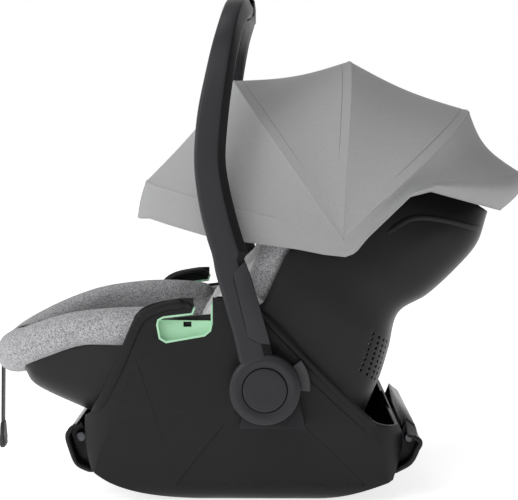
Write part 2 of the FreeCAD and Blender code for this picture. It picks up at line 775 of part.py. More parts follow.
BOWS = {
    "rear": (42.3, 214.0, 0),
    "mid": (86.0, 206.5, 1),
    "front": (125.0, 222.0, 2),
    "visor": (166.0, 242.0, 3),
}
ARCH_POWER = 3.2
BOW_LAYER_START = 185.0


def arch(half_width, top, first_angle, steps=12):
    """Points of one bow's curve from the left side over the top: sideways and away from the pin."""
    points = []
    for step in range(steps + 1):
        angle = math.radians(first_angle + (180 - 2 * first_angle) * step / steps)
        side = -math.copysign(abs(math.cos(angle)) ** (2 / ARCH_POWER), math.cos(angle))
        points.append((half_width * side, top * math.sin(angle) ** (2 / ARCH_POWER)))
    return points


def bow_layer(level):
    """Distance of a bow's inner face from the middle plane, at the pin."""
    return BOW_LAYER_START + level * (size("bow_wall") + size("bow_gap"))


def build_bow(name, lean, top, level):
    """A flat spring-steel bow with an eye at each end, padded across its width and leaned back."""
    wall, first = size("bow_wall"), 2.0
    outside = bow_layer(level) + wall
    outer = [(y, r, 0) for y, r in arch(outside, top, first)]
    inner = [(y, r, 0) for y, r in arch(outside - wall, top - wall, first)]
    foot = size("pin_radius") + 2
    feet = [(inner[0][0], foot, 0), (outer[0][0], foot, 0), (outer[-1][0], foot, 0), (inner[-1][0], foot, 0)]
    edges = [
        run([feet[1], outer[0]]), run(outer), run([outer[-1], feet[2]]), run([feet[2], feet[3]]),
        run([feet[3], inner[-1]]), run(inner[::-1]), run([inner[0], feet[0]]), run([feet[0], feet[1]]),
    ]
    strip = pad(f"bow_{name}_strip", "YZ_Plane", edges, "-Sizes.bow_width / 2", "Sizes.bow_width")
    strip.Placement = Placement(Vector(), Rotation(Vector(0, 1, 0), 90 - lean))
    bind(strip, {
        "Placement.Base.x": "Sizes.canopy_pivot_x", "Placement.Base.z": "Sizes.canopy_pivot_z",
    })
    pivot = ("Sizes.canopy_pivot_x", "Sizes.canopy_pivot_z")
    layer_start = f"{BOW_LAYER_START} + {level} * (Sizes.bow_wall + Sizes.bow_gap)"
    eyes = []
    for side in ("near", "far"):
        start = layer_start if side == "near" else f"-({layer_start} + Sizes.bow_wall)"
        eye = side_disc(f"bow_{name}_eye_{side}", "Sizes.bow_eye_radius", start, "Sizes.bow_wall", *pivot)
        eyes.append(eye)
    hole = side_disc(f"bow_{name}_hole", "Sizes.pin_radius + Sizes.pin_clearance", "-230", "460", *pivot)
    node(f"canopy_bow_{name}", cut(f"bow_{name}_done", fuse(f"bow_{name}_solid", [strip, *eyes]), hole))


def fabric_wire(lean, top, half_width, first_angle):
    """Closed band across the canopy fabric in the plane of one bow."""
    angle = math.radians(lean)
    wall = size("fabric_wall")
    pivot_x, pivot_z = size("canopy_pivot_x"), size("canopy_pivot_z")

    def placed(points):
        return [(pivot_x + r * math.cos(angle), y, pivot_z + r * math.sin(angle)) for y, r in points]

    outer = placed(arch(half_width + wall, top + wall, first_angle))
    inner = placed(arch(half_width, top, first_angle))[::-1]
    return wire([run(outer), run([outer[-1], inner[0]]), run(inner), run([inner[-1], outer[0]])])


def build_canopy(bucket):
    """Bows, the pins they turn on, and the fabric panels between them."""
    for name, (lean, top, level) in BOWS.items():
        build_bow(name, lean, top, level)
    pivot = ("Sizes.canopy_pivot_x", "Sizes.canopy_pivot_z")
    pin = side_disc("pin_shaft", "Sizes.pin_radius", "170", f"{bow_layer(4)} - 170", *pivot)
    flange = side_disc("pin_flange", "Sizes.bow_eye_radius + 3", "165", f"{BOW_LAYER_START} - 165.3", *pivot)
    mount = fuse("canopy_mount_blank", [pin, flange])
    both_sides("canopy_mount", cut("canopy_mount_solid", mount, made("mount_seat", bucket.Shape.copy())))
    half = bow_layer(4) + 0.1
    edge = 0.15
    lift = 1.9
    rear, mid, front, visor = (BOWS[key][:2] for key in ("rear", "mid", "front", "visor"))
    spans = {
        "canopy_rear_panel": [(7.5, 206.0), (12.5, 235.0), (17.0, 233.0), (24.5, 214.0), (31.7, 209.0),
                              (rear[0] - edge, rear[1] + lift)],
        "canopy_back_panel": [(rear[0] + edge, rear[1] + lift), (mid[0] - edge, mid[1] + lift)],
        "canopy_mid_panel": [(mid[0] + edge, mid[1] + lift), (front[0] - edge, front[1] + lift)],
        "canopy_front_panel": [(front[0] + edge, front[1] + lift), (visor[0] - edge, visor[1] + lift)],
        "canopy_visor": [(visor[0] + edge, visor[1] + lift), (174.5, 246.0)],
    }
    for name, stops in spans.items():
        wires = [fabric_wire(lean, top, half, 1.6) for lean, top in stops]
        node(name, made(name + "_sheet", loft(wires)))


# ---------------------------------------------------------------- headrest and harness

def headrest_corner(deep):
    """The middle of the headrest's lower edge, where it rests on the backrest cover."""
    lean, start, lift = math.radians(size("headrest_lean")), size("headrest_start"), size("headrest_lift")
    x, _, z = place(STATIONS[9], 0, deep["cover"][1])
    along, off = (math.cos(lean), math.sin(lean)), (-math.sin(lean), math.cos(lean))
    return Vector(x + along[0] * start + off[0] * lift, 0, z + along[1] * start + off[1] * lift)


def build_headrest(deep_layers):
    """A U-shaped plastic headrest with a padded lining, on a slide up the backrest."""
    half, deep, wall = size("headrest_half_width"), size("headrest_side_depth"), size("headrest_wall")
    inside = half - wall
    shell = [(-half, 0), (half, 0), (half, deep), (inside, deep), (inside, wall), (-inside, wall),
             (-inside, deep), (-half, deep)]
    lined = inside - size("layer_gap")
    floor = wall + size("layer_gap")
    lining = [(-lined, floor), (lined, floor), (lined, deep + 2), (lined - 18, deep + 2), (lined - 22, 22),
              (22 - lined, 22), (18 - lined, deep + 2), (-lined, deep + 2)]
    leaned = Rotation(Vector(0, 1, 0), -size("headrest_lean"))
    for name, outline in (("headrest_shell", shell), ("headrest_pad", lining)):
        part = pad(name + "_solid", "YZ_Plane", polygon(outline), "0", "Sizes.headrest_length")
        part.Placement = Placement(headrest_corner(deep_layers), leaned)
        node(name, part)


def build_harness(deep):
    """Shoulder straps, pads, hip straps, crotch strap, tongues, buckle and its button."""
    near, far = deep["strap"]
    middle, half = size("shoulder_strap_y"), size("strap_width") / 2
    strap = ribbon(STATIONS[4:10], near, far, -(middle + half), -(middle - half))
    pair("shoulder_straps", made("strap", strap))
    padding = ribbon(STATIONS[6:9], far + 0.4, far + 9, -(middle + half + 5), -(middle - half - 5))
    pair("shoulder_pads", made("strap_pad", padding))
    node("crotch_strap", made("crotch", ribbon(STATIONS[3:5], near, far, -half, half)))
    housing = doc.addObject("Part::Box", "buckle_block")
    bind(housing, {
        "Length": "Sizes.buckle_length", "Width": "Sizes.buckle_width", "Height": "Sizes.buckle_depth",
        "Placement.Base.x": "Sizes.buckle_x", "Placement.Base.y": "-Sizes.buckle_width / 2",
        "Placement.Base.z": "Sizes.buckle_z",
    })
    pocket = doc.addObject("Part::Box", "buckle_pocket")
    bind(pocket, {
        "Length": "22", "Width": "22", "Height": "12",
        "Placement.Base.x": "Sizes.buckle_x + 6", "Placement.Base.y": "-11",
        "Placement.Base.z": "Sizes.buckle_z + Sizes.buckle_depth - 6",
    })
    button = doc.addObject("Part::Box", "buckle_button_block")
    bind(button, {
        "Length": "21.4", "Width": "21.4", "Height": "4",
        "Placement.Base.x": "Sizes.buckle_x + 6.3", "Placement.Base.y": "-10.7",
        "Placement.Base.z": "Sizes.buckle_z + Sizes.buckle_depth - 2.8",
    })
    node("buckle_housing", cut("buckle", housing, pocket))
    node("buckle_button", button)
    tongue = doc.addObject("Part::Box", "tongue_block")
    bind(tongue, {
        "Length": "30", "Width": "40", "Height": "8",
        "Placement.Base.x": "Sizes.buckle_x + 18", "Placement.Base.y": "-(Sizes.buckle_width / 2 + 40.3)",
        "Placement.Base.z": "Sizes.buckle_z - 5.4",
    })
    pair("harness_tongues", tongue)
    hip = doc.addObject("Part::Box", "hip_strap_block")
    bind(hip, {
        "Length": "30", "Width": "50", "Height": "Sizes.strap_wall",
        "Placement.Base.x": "Sizes.buckle_x + 18", "Placement.Base.y": "-(Sizes.buckle_width / 2 + 90.6)",
        "Placement.Base.z": "Sizes.buckle_z - 5.4",
    })
    pair("hip_straps", hip)


# Middle line of the adjuster's tail strap (x, z): out of the adjuster, over the roll and down.
TAIL_ROUTE = [
    (-292.0, 188.9), (-306.0, 187.9), (-319.5, 180.5), (-328.0, 167.5), (-331.0, 150.0), (-331.8, 122.0),
    (-333.0, 62.0),
]


def tail_edges(route, shift):
    """One side of the strap: straight runs and tangent arcs, moved sideways from the middle line."""
    lines = offset_path(route, shift)
    edges, last = [], lines[0]
    for before, corner, after in zip(route, route[1:], route[2:]):
        first = Vector(before[0] - corner[0], before[1] - corner[1])
        second = Vector(after[0] - corner[0], after[1] - corner[1])
        turn = math.pi - first.getAngle(second)
        radius = 0.45 * min(first.Length, second.Length) / math.tan(turn / 2)
        first.normalize()
        second.normalize()
        centre = Vector(*corner) + (first + second).normalize() * (radius / math.cos(turn / 2))
        left_turn = (first.x * second.y - first.y * second.x) < 0
        own = radius - shift if left_turn else radius + shift
        foot = centre - Vector(*corner)
        start = centre - (foot - first * foot.dot(first)).normalize() * own
        end = centre - (foot - second * foot.dot(second)).normalize() * own
        mid = centre - foot.normalize() * own
        edges.append(run([tuple(Vector(*last)), tuple(start)]))
        edges.append(Part.Arc(start, mid, end))
        last = end
    edges.append(run([tuple(Vector(*last)), tuple(Vector(*lines[-1]))]))
    return edges


def build_tail_strap():
    """The adjuster's tail strap, flat webbing, and the moulded pull tab on its end."""
    half = size("tail_strap_wall") / 2
    one = tail_edges(TAIL_ROUTE, half)
    other = tail_edges(TAIL_ROUTE, -half)
    first = [one[0].StartPoint, one[-1].EndPoint]
    second = [other[0].StartPoint, other[-1].EndPoint]
    edges = one + other + [Part.LineSegment(first[0], second[0]), Part.LineSegment(first[1], second[1])]
    strap = pad("tail_webbing", "XZ_Plane", edges, "-Sizes.tail_strap_width / 2", "Sizes.tail_strap_width")
    node("tail_strap", strap)
    x, top = TAIL_ROUTE[-1]
    # How far down each section of the tab lies, how deep it is and how wide.
    sections = [(0.0, 4.0, 21.0), (12.0, 7.0, 24.0), (24.0, 10.0, 26.0), (30.5, 8.0, 24.0), (33.0, 4.5, 19.0)]
    wires = []
    for down, deep, wide in sections:
        corners = [(-deep, -wide), (deep, -wide), (deep, wide), (-deep, wide)]
        points = [(x + a / 2, b / 2, top - down) for a, b in corners]
        wires.append(wire([run([a, b]) for a, b in zip(points, points[1:] + points[:1])]))
    node("pull_tab", made("tab", loft(wires)))


cradle_outer = cradle_solid("cradle_outer", 0.0, False)
build_cradle(cradle_outer)
build_bumpers(cradle_outer)
build_belt_guides()
bucket = build_seat()
build_foot_end()
build_newborn_insert(depths())
build_bosses(bucket)
build_hubs()
build_handle()
build_adapters(cradle_outer)
build_levers()
build_canopy(bucket)
build_headrest(depths())
build_harness(depths())
build_tail_strap()
doc.recompute()

for thing in doc.Objects:
    if "Invalid" in thing.State or "Error" in thing.State:
        raise RuntimeError(f"{thing.Label} failed to build")
for name, thing in NODES.items():
    if thing.Shape.isNull() or not thing.Shape.isValid() or not thing.Shape.Solids:
        raise RuntimeError(f"{name} has no valid solid")
os.makedirs("parts", exist_ok=True)
for name, thing in NODES.items():
    thing.Shape.exportStep(f"parts/{name}.step")
    print(name, len(thing.Shape.Solids), round(thing.Shape.Volume / 1000, 1))
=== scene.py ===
"""Infant car seat: the looks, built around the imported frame.

+X towards the head end, -X towards the feet, +Y the occupant's right, +Z up, all in metres.
Sizes that follow a drawing are written in millimetres and turned to metres by MM.
"""

import contextlib
import math

import bpy
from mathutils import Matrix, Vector


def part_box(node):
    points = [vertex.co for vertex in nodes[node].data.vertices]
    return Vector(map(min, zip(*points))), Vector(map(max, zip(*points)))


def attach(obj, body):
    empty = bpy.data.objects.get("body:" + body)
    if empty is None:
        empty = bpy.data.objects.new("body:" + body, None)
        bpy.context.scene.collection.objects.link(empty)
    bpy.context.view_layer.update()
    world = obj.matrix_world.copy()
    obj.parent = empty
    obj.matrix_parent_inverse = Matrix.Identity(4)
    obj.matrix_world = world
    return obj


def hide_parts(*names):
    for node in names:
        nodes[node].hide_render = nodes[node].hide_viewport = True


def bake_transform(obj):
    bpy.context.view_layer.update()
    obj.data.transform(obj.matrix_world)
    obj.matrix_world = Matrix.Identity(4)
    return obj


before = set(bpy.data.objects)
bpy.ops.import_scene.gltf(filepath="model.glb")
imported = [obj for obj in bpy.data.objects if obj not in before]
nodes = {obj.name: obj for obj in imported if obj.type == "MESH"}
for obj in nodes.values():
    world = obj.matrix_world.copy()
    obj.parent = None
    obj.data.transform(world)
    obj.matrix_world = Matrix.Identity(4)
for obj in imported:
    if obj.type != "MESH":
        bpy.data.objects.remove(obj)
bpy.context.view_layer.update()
MM = 0.001
SIDES = (("left", -1), ("right", 1))

# ------------------------------------------------------------------------------ studio
# A white cove that is brightest behind the seat and to its left, with one big soft light from the
# front left, one from above and a weak one behind. The camera stands low at the seat's left side.


def colour(hexa):
    """An sRGB hex colour as linear red, green, blue and alpha."""
    parts = [int(hexa[i:i + 2], 16) / 255 for i in (0, 2, 4)]
    linear = [p / 12.92 if p <= 0.04045 else ((p + 0.055) / 1.055) ** 2.4 for p in parts]
    return (*linear, 1.0)


def add(tree, kind, inputs=None, **settings):
    """Adds one shader node with its settings; an input is a value or another node's socket."""
    made = tree.nodes.new(kind)
    for name, value in settings.items():
        setattr(made, name, value)
    for name, value in (inputs or {}).items():
        if isinstance(value, bpy.types.NodeSocket):
            tree.links.new(value, made.inputs[name])
        else:
            made.inputs[name].default_value = value
    return made


def empty_material(name):
    """A new material, its empty node tree and the place on the piece that its textures follow."""
    material = bpy.data.materials.new(name)
    material.use_nodes = True
    material.node_tree.nodes.clear()
    place = add(material.node_tree, "ShaderNodeTexCoord").outputs["Object"]
    return material, material.node_tree, place


def finish_material(tree, inputs):
    """Ends a material with one principled shader."""
    shader = add(tree, "ShaderNodeBsdfPrincipled", inputs)
    output = add(tree, "ShaderNodeOutputMaterial")
    tree.links.new(shader.outputs[0], output.inputs["Surface"])


def painted_board():
    """Matt white board for the floor of the cove."""
    material, tree, _ = empty_material("white_board")
    finish_material(tree, {
        "Base Color": colour("E4E4E4"), "Roughness": 0.9,
        "Emission Color": (1, 1, 1, 1), "Emission Strength": 0.76,
    })
    return material


bpy.ops.object.select_all(action="DESELECT")
bpy.ops.mesh.primitive_plane_add(size=60, location=(0, 0, -0.0004))
floor = bpy.context.object
floor.name = "studio_floor"
floor.data.materials.append(painted_board())

world = bpy.data.worlds.new("studio")
world.use_nodes = True
sky = world.node_tree
direction = add(sky, "ShaderNodeTexCoord")
towards_wall = add(sky, "ShaderNodeVectorMath", {
    0: direction.outputs["Generated"], 1: (-0.83, 0.55, 0.0),
}, operation="DOT_PRODUCT")
wall = add(sky, "ShaderNodeMapRange", {
    "Value": towards_wall.outputs["Value"], "From Min": -0.9, "From Max": 0.3, "To Min": 0.14, "To Max": 1.0,
})
height = add(sky, "ShaderNodeSeparateXYZ", {"Vector": direction.outputs["Generated"]})
ceiling = add(sky, "ShaderNodeMapRange", {
    "Value": height.outputs["Z"], "From Min": 0.30, "From Max": 0.62, "To Min": 1.0, "To Max": 0.35,
})
glow = add(sky, "ShaderNodeMath", {
    0: wall.outputs["Result"], 1: ceiling.outputs["Result"],
}, operation="MULTIPLY")
sky.links.new(glow.outputs[0], sky.nodes["Background"].inputs["Strength"])
sky.nodes["Background"].inputs["Color"].default_value = (1, 1, 1, 1)
bpy.context.scene.world = world
bpy.context.scene.view_settings.view_transform = "Standard"


def soft_light(name, place, aim, size, power):
    """A round area light, its width in metres and its power in watts, turned to its aim."""
    bpy.ops.object.light_add(type="AREA", location=place)
    light = bpy.context.object
    light.name = name
    light.data.shape = "DISK"
    light.data.size = size
    light.data.energy = power
    light.rotation_euler = (Vector(aim) - Vector(place)).to_track_quat("-Z", "Y").to_euler()


soft_light("key", (-1.25, -1.05, 1.1), (-0.05, 0, 0.25), 0.9, 9)
soft_light("top", (-0.6, 0.0, 2.4), (0, 0, 0.3), 1.2, 7)
soft_light("fill", (-0.4, -1.5, 1.6), (-0.15, 0.1, 0.25), 1.0, 7)
soft_light("rim", (1.6, 1.2, 1.4), (0, 0, 0.3), 0.9, 2)

CAMERA_PLACE = Vector((0.01827, -1.74451, 0.42330))
CAMERA_AIM = Vector((0.0, 0.0, 0.286))
bpy.ops.object.camera_add(location=CAMERA_PLACE)
camera = bpy.context.object
camera.name = "side_camera"
camera.data.sensor_width = 36.0
camera.data.lens = 94.5
camera.rotation_euler = (CAMERA_AIM - CAMERA_PLACE).to_track_quat("-Z", "Y").to_euler()
bpy.context.scene.camera = camera

# ------------------------------------------------------------------------------ tail strap
# The harness adjuster's free end: flat polyester webbing, 20 mm wide, that comes out of the
# adjuster, goes over the foot roll and hangs down the front, with a moulded rubber pull tab.


def only(piece):
    """Selects one piece alone and makes it active."""
    bpy.ops.object.select_all(action="DESELECT")
    piece.select_set(True)
    bpy.context.view_layer.objects.active = piece


@contextlib.contextmanager
def editing(piece):
    """Edit mode on one piece alone, with all of it selected."""
    only(piece)
    bpy.ops.object.mode_set(mode="EDIT")
    bpy.ops.mesh.select_all(action="SELECT")
    yield
    bpy.ops.object.mode_set(mode="OBJECT")


def modify(piece, kind, **settings):
    """Adds one modifier and applies it."""
    modifier = piece.modifiers.new(kind.lower(), kind)
    for name, value in settings.items():
        setattr(modifier, name, value)
    only(piece)
    bpy.ops.object.modifier_apply(modifier=modifier.name)


def bevel(piece, width, angle, segments=2, miter_outer="MITER_SHARP"):
    """Rounds the edges that are sharper than an angle (mm, degrees)."""
    modify(piece, "BEVEL", width=width * MM, segments=segments, limit_method="ANGLE",
           angle_limit=math.radians(angle), miter_outer=miter_outer)


def face_out(piece):
    """Turns every face of a closed piece outwards."""
    with editing(piece):
        bpy.ops.mesh.normals_make_consistent(inside=False)


def close_ends(piece):
    """Fills the open ends of a tube and turns its faces outwards."""
    with editing(piece):
        bpy.ops.mesh.select_all(action="DESELECT")
        bpy.ops.mesh.select_mode(type="VERT")
        bpy.ops.mesh.select_non_manifold()
        bpy.ops.mesh.fill_holes(sides=0)
        bpy.ops.mesh.select_all(action="SELECT")
        bpy.ops.mesh.normals_make_consistent(inside=False)


def formed(name, across, along, place, tube=False):
    """A grid of quads pressed over a shape: every point goes to place(u, v), both from 0 to 1.
    On a tube the seam along u is welded and the two ends are filled."""
    bpy.ops.object.select_all(action="DESELECT")
    bpy.ops.mesh.primitive_grid_add(x_subdivisions=across, y_subdivisions=along, size=1)
    piece = bpy.context.object
    piece.name = name
    for vertex in piece.data.vertices:
        vertex.co = Vector(place(vertex.co.x + 0.5, vertex.co.y + 0.5))
    if tube:
        with editing(piece):
            bpy.ops.mesh.remove_doubles(threshold=0.00002)
        close_ends(piece)
    return piece


def squared(value, power):
    """A sine or cosine raised to a power with its sign kept, for a section between oval and box."""
    return math.copysign(abs(value) ** power, value)


def smooth(piece, degrees=40):
    """Shades a piece smooth, but for edges sharper than an angle."""
    only(piece)
    bpy.ops.object.shade_smooth_by_angle(angle=math.radians(degrees))


def dress(piece, material, body, stands_for=()):
    """Gives a finished piece its material, its body and the nodes that it replaces."""
    piece.data.materials.clear()
    piece.data.materials.append(material)
    if body:
        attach(piece, body)
    if stands_for:
        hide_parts(*stands_for)
    return piece


def smooth_line(points, steps=24):
    """Points read from a smooth spline whose control points are given."""
    curve = bpy.data.curves.new("guide_line", "CURVE")
    curve.dimensions = "3D"
    curve.resolution_u = steps
    spline = curve.splines.new("NURBS")
    spline.points.add(len(points) - 1)
    for spot, point in zip(spline.points, points):
        spot.co = (*point, 1.0)
    spline.order_u = 3
    spline.use_endpoint_u = True
    holder = bpy.data.objects.new("guide_line", curve)
    bpy.context.collection.objects.link(holder)
    bpy.context.view_layer.update()
    mesh = bpy.data.meshes.new_from_object(holder)
    line = [vertex.co.copy() for vertex in mesh.vertices]
    bpy.data.objects.remove(holder)
    bpy.data.meshes.remove(mesh)
    return line


def noise(tree, place, scale, detail, **more):
    """Cloudy noise from 0 to 1; its scale is in clouds a metre."""
    return add(tree, "ShaderNodeTexNoise", {
        "Vector": place, "Scale": scale, "Detail": detail, **more,
    }).outputs["Fac"]


def combine(tree, a, b, how):
    """Two values added or multiplied."""
    return add(tree, "ShaderNodeMath", {0: a, 1: b}, operation=how).outputs[0]


def rescaled(tree, value, **limits):
    """A value brought from one span to another."""
    inputs = {name.replace("_", " ").title(): limit for name, limit in limits.items()}
    return add(tree, "ShaderNodeMapRange", {"Value": value, **inputs}).outputs["Result"]


def bumps(tree, height, strength, distance, **settings):
    """A surface roughened by a height, to a depth in metres."""
    return add(tree, "ShaderNodeBump", {
        "Height": height, "Strength": strength, "Distance": distance,
    }, **settings).outputs["Normal"]


def two_tones(tree, share, first, second):
    """A mix of two hex colours."""
    return add(tree, "ShaderNodeMix", {
        "Factor": share, 6: colour(first), 7: colour(second),
    }, data_type="RGBA").outputs[2]


# A wave texture has 20 / (2 pi) bands a metre for each unit of its scale.
RIB_SCALE = 1 / (1.1 * MM * 6.5)


def webbing_cloth(name, hexa):
    """Polyester webbing: tight cross ribs that catch dull light, drawn coarse at 2.2 mm apart."""
    material, tree, place = empty_material(name)
    ribs = add(tree, "ShaderNodeTexWave", {
        "Vector": place, "Scale": RIB_SCALE, "Distortion": 0.6, "Detail": 2.0,
    }, bands_direction="Z")
    fuzz = noise(tree, place, 1600.0, 3.0)
    height = combine(tree, ribs.outputs["Fac"], fuzz, "ADD")
    finish_material(tree, {
        "Base Color": two_tones(tree, fuzz, hexa, "3A3A3D"), "Roughness": 0.8,
        "Normal": bumps(tree, height, 0.35, 0.0004), "Sheen Weight": 0.25, "Sheen Roughness": 0.5,
    })
    return material


def moulded_rubber(name, hexa):
    """Soft-touch thermoplastic rubber: an even satin skin with a very fine orange-peel."""
    material, tree, place = empty_material(name)
    skin = noise(tree, place, 900.0, 2.0)
    finish_material(tree, {
        "Base Color": colour(hexa), "Roughness": rescaled(tree, skin, to_min=0.42, to_max=0.58),
        "Normal": bumps(tree, skin, 0.12, 0.0003),
    })
    return material


strap_web = webbing_cloth("woven_polyester_webbing", "1F1F22")
tab_rubber = moulded_rubber("soft_touch_rubber", "232326")

TAIL_ROUTE = [
    (-0.2920, 0.0, 0.1889), (-0.3060, 0.0, 0.1879), (-0.3195, 0.0, 0.1805), (-0.3280, 0.0, 0.1675),
    (-0.3310, 0.0, 0.1500), (-0.3318, 0.0, 0.1220), (-0.3330, 0.0, 0.0620),
]
TAIL_WIDTH = 0.020
tail_line = smooth_line(TAIL_ROUTE)


def on_tail(u, v):
    spot = tail_line[round(v * (len(tail_line) - 1))]
    return (spot.x, (u - 0.5) * TAIL_WIDTH, spot.z)


tail = formed("tail_webbing", 1, len(tail_line) - 1, on_tail)
modify(tail, "SOLIDIFY", thickness=0.0016, offset=0.0)
face_out(tail)
bevel(tail, 0.4, 30)
smooth(tail)
dress(tail, strap_web, "seat", ["tail_strap"])

# The tab is a drop shape with a waist where the webbing goes in, and a thumb hollow on each face.
# Its rows: distance down, thickness and half width. The hollow: distance down, reach and depth (mm).
TAB_PROFILE = [(0, 4.4, 10.8), (4, 5.6, 11.4), (12, 7.4, 12.2), (22, 9.4, 13.0), (29, 9.0, 12.2),
               (33, 5.0, 9.0)]
HOLLOW_DOWN = 19
HOLLOW_REACH = 7
HOLLOW_DEPTH = 1.6
TAB_SQUARE = 0.6
tab_low, tab_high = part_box("pull_tab")
tab_middle = (tab_low.x + tab_high.x) / 2


def along_profile(profile, share):
    """A row between the rows of a profile, at a share of its first column's span."""
    at = profile[0][0] + share * (profile[-1][0] - profile[0][0])
    for low, high in zip(profile, profile[1:]):
        if at <= high[0] or high is profile[-1]:
            part = (at - low[0]) / (high[0] - low[0])
            ease = part * part * (3 - 2 * part)
            return [a + (b - a) * ease for a, b in zip(low, high)]
    return profile[-1]


def on_tab(u, v):
    down, deep, wide = along_profile(TAB_PROFILE, v)
    turn = 2 * math.pi * u
    x = squared(math.cos(turn), TAB_SQUARE) * deep / 2
    y = squared(math.sin(turn), TAB_SQUARE) * wide
    if abs(math.cos(turn)) > 0.5:
        x -= math.copysign(HOLLOW_DEPTH * math.exp(-((down - HOLLOW_DOWN) / HOLLOW_REACH) ** 2), x)
    end = 1.0 if 0.02 < v < 0.98 else 0.72
    return (tab_middle + x * end * MM, y * end * MM, tab_high.z - down * MM)


tab = formed("rubber_pull_tab", 40, 40, on_tab, tube=True)
smooth(tab, 50)
dress(tab, tab_rubber, "seat", ["pull_tab"])

# ------------------------------------------------------------------------------ cradle
# The tub that carries everything: one big moulding in black glass-filled polypropylene with a
# spark-eroded matt skin. Its side panels have a raised border and folds.


GRAIN = 0.9


def moulded_plastic(name, hexa, rough, depth=0.12, shine=0.2):
    """Matt moulded plastic: a spark-eroded grain, drawn about twice its size so that it shows,
    and faint flow marks that vary the gloss over a few centimetres."""
    material, tree, place = empty_material(name)
    pits = noise(tree, place, 1 / (GRAIN * MM), 3.0, Roughness=0.6)
    flow = noise(tree, place, 14.0, 2.0)
    dull = rescaled(tree, flow, from_min=0.3, from_max=0.7, to_min=rough - 0.05, to_max=rough + 0.07)
    shade = rescaled(tree, pits, from_min=0.3, from_max=0.7, to_min=0.92, to_max=1.08)
    tone = add(tree, "ShaderNodeMix", {
        "Factor": 1.0, 6: colour(hexa), 7: shade,
    }, data_type="RGBA", blend_type="MULTIPLY")
    finish_material(tree, {
        "Base Color": tone.outputs[2], "Roughness": dull, "Normal": bumps(tree, pits, depth, 0.0003),
        "IOR": 1.49, "Specular IOR Level": shine,
    })
    return material


cradle_plastic = moulded_plastic("matt_black_polypropylene", "161618", rough=0.42)


def finished_copy(node, name, round_off=0.8, segments=2, angle=32, join=0.8):
    """A welded copy of a moulded CAD part with its flat faces joined and its edges rounded (mm)."""
    piece = bpy.data.objects.new(name, nodes[node].data.copy())
    bpy.context.collection.objects.link(piece)
    with editing(piece):
        bpy.ops.mesh.remove_doubles(threshold=0.000015)
        bpy.ops.mesh.dissolve_limited(angle_limit=math.radians(join))
    if round_off:
        bevel(piece, round_off, angle, segments, "MITER_ARC")
    smooth(piece, angle)
    return piece


def moulding(node, name, material, slot, body="seat", **edges):
    """A finished copy of a CAD part, dressed, that stands for its node."""
    return dress(finished_copy(node, name, **edges), material, body, [node])


def run_points(points, step):
    """Points spread evenly along a line of given points."""
    spread = [Vector(points[0])]
    for a, b in zip(points, points[1:]):
        a, b = Vector(a), Vector(b)
        count = max(1, round((b - a).length / step))
        spread += [a + (b - a) * k / count for k in range(1, count + 1)]
    return spread


def rod(name, line, wide, deep, sides, material, body="seat", out=(0, 1, 0), square=0.8):
    """A dressed bead along a line: an oval section, wide across the line and deep along out (mm),
    that thins down at both ends."""
    out = Vector(out)

    def place(u, v):
        index = round(v * (len(line) - 1))
        ahead = line[min(index + 1, len(line) - 1)] - line[max(index - 1, 0)]
        aside = ahead.cross(out).normalized()
        turn = 2 * math.pi * u
        a = squared(math.cos(turn), square) * wide * MM / 2
        b = squared(math.sin(turn), square) * deep * MM / 2
        from_end = min(index, len(line) - 1 - index) / (len(line) - 1)
        return line[index] + (aside * a + out * b) * min(1.0, 0.15 + 18 * from_end)

    piece = formed(name, sides, len(line) - 1, place, tube=True)
    smooth(piece, 60)
    return dress(piece, material, body)


def smooth_border(points):
    """The same route (x, z) with its corners rounded."""
    return [(spot.x, spot.z) for spot in smooth_line([(x, 0, z) for x, z in points], steps=8)]


FOLD_BAND = 0.9


def cut_across(piece, a, b):
    """Cuts a piece along two planes that run along Y, a fold band apart, beside points (x, z) a and b."""
    across = Vector((a[1] - b[1], 0, b[0] - a[0])).normalized()
    with editing(piece):
        for shift in (-FOLD_BAND / 2, FOLD_BAND / 2):
            bpy.ops.mesh.select_all(action="SELECT")
            place = Vector((a[0], 0, a[1])) + across * shift
            bpy.ops.mesh.bisect(plane_co=place * MM, plane_no=across)


def left_of(spot, a, b):
    """How far a point (x, z) lies to the left of the line from a to b."""
    run = Vector((b[0] - a[0], b[1] - a[1])).normalized()
    return run.x * (spot[1] - a[1]) - run.y * (spot[0] - a[0])


# The folds that bound the flat facet below each hub (x, z), counter-clockwise seen from the left.
FACET = [((-96, 22), (100, 22)), ((112, 38), (53, 97)), ((53, 97), (-41, 95)), ((-41, 95), (-96, 22))]
FACET_DEPTH = 2.0
tub = finished_copy("cradle_shell", "cradle_tub", round_off=0.0)
for a, b in FACET[1:]:
    cut_across(tub, a, b)
for vertex in tub.data.vertices:
    x, y, z = vertex.co / MM
    on_outer_wall = abs(y) > 150 and z < 98 and vertex.normal.y * y > 0
    if on_outer_wall and all(left_of((x, z), a, b) > 0 for a, b in FACET):
        vertex.co.y -= math.copysign(FACET_DEPTH * MM, y)
bevel(tub, 1.2, 32, miter_outer="MITER_ARC")
smooth(tub, 32)
dress(tub, cradle_plastic, "seat", ["cradle_shell"])

# The relief of each side panel (x, z): a broad bead inside its front edge and a tight one on its
# rear edge with a thin one beside it, rolls round its hook and its post, and a crease up the front.
FRONT_BORDER = [(-196, 106), (-183, 118), (-172, 140), (-159, 166), (-151, 186), (-143, 206), (-135, 222),
                (-123, 231), (-106, 237), (-90, 240), (-79, 238)]
HOOK_BORDER = [(-139, 222), (-127, 232), (-107, 238), (-86, 241), (-77, 238), (-75, 234)]
CREASE = [(-140, 175), (-106, 64)]
POST_BORDER = [(-49, 243), (-30, 243), (-12, 241)]
REAR_BORDER = [(-8, 240), (5, 227), (56, 173), (97, 132), (138, 94)]


PANEL_STEP = 5.0


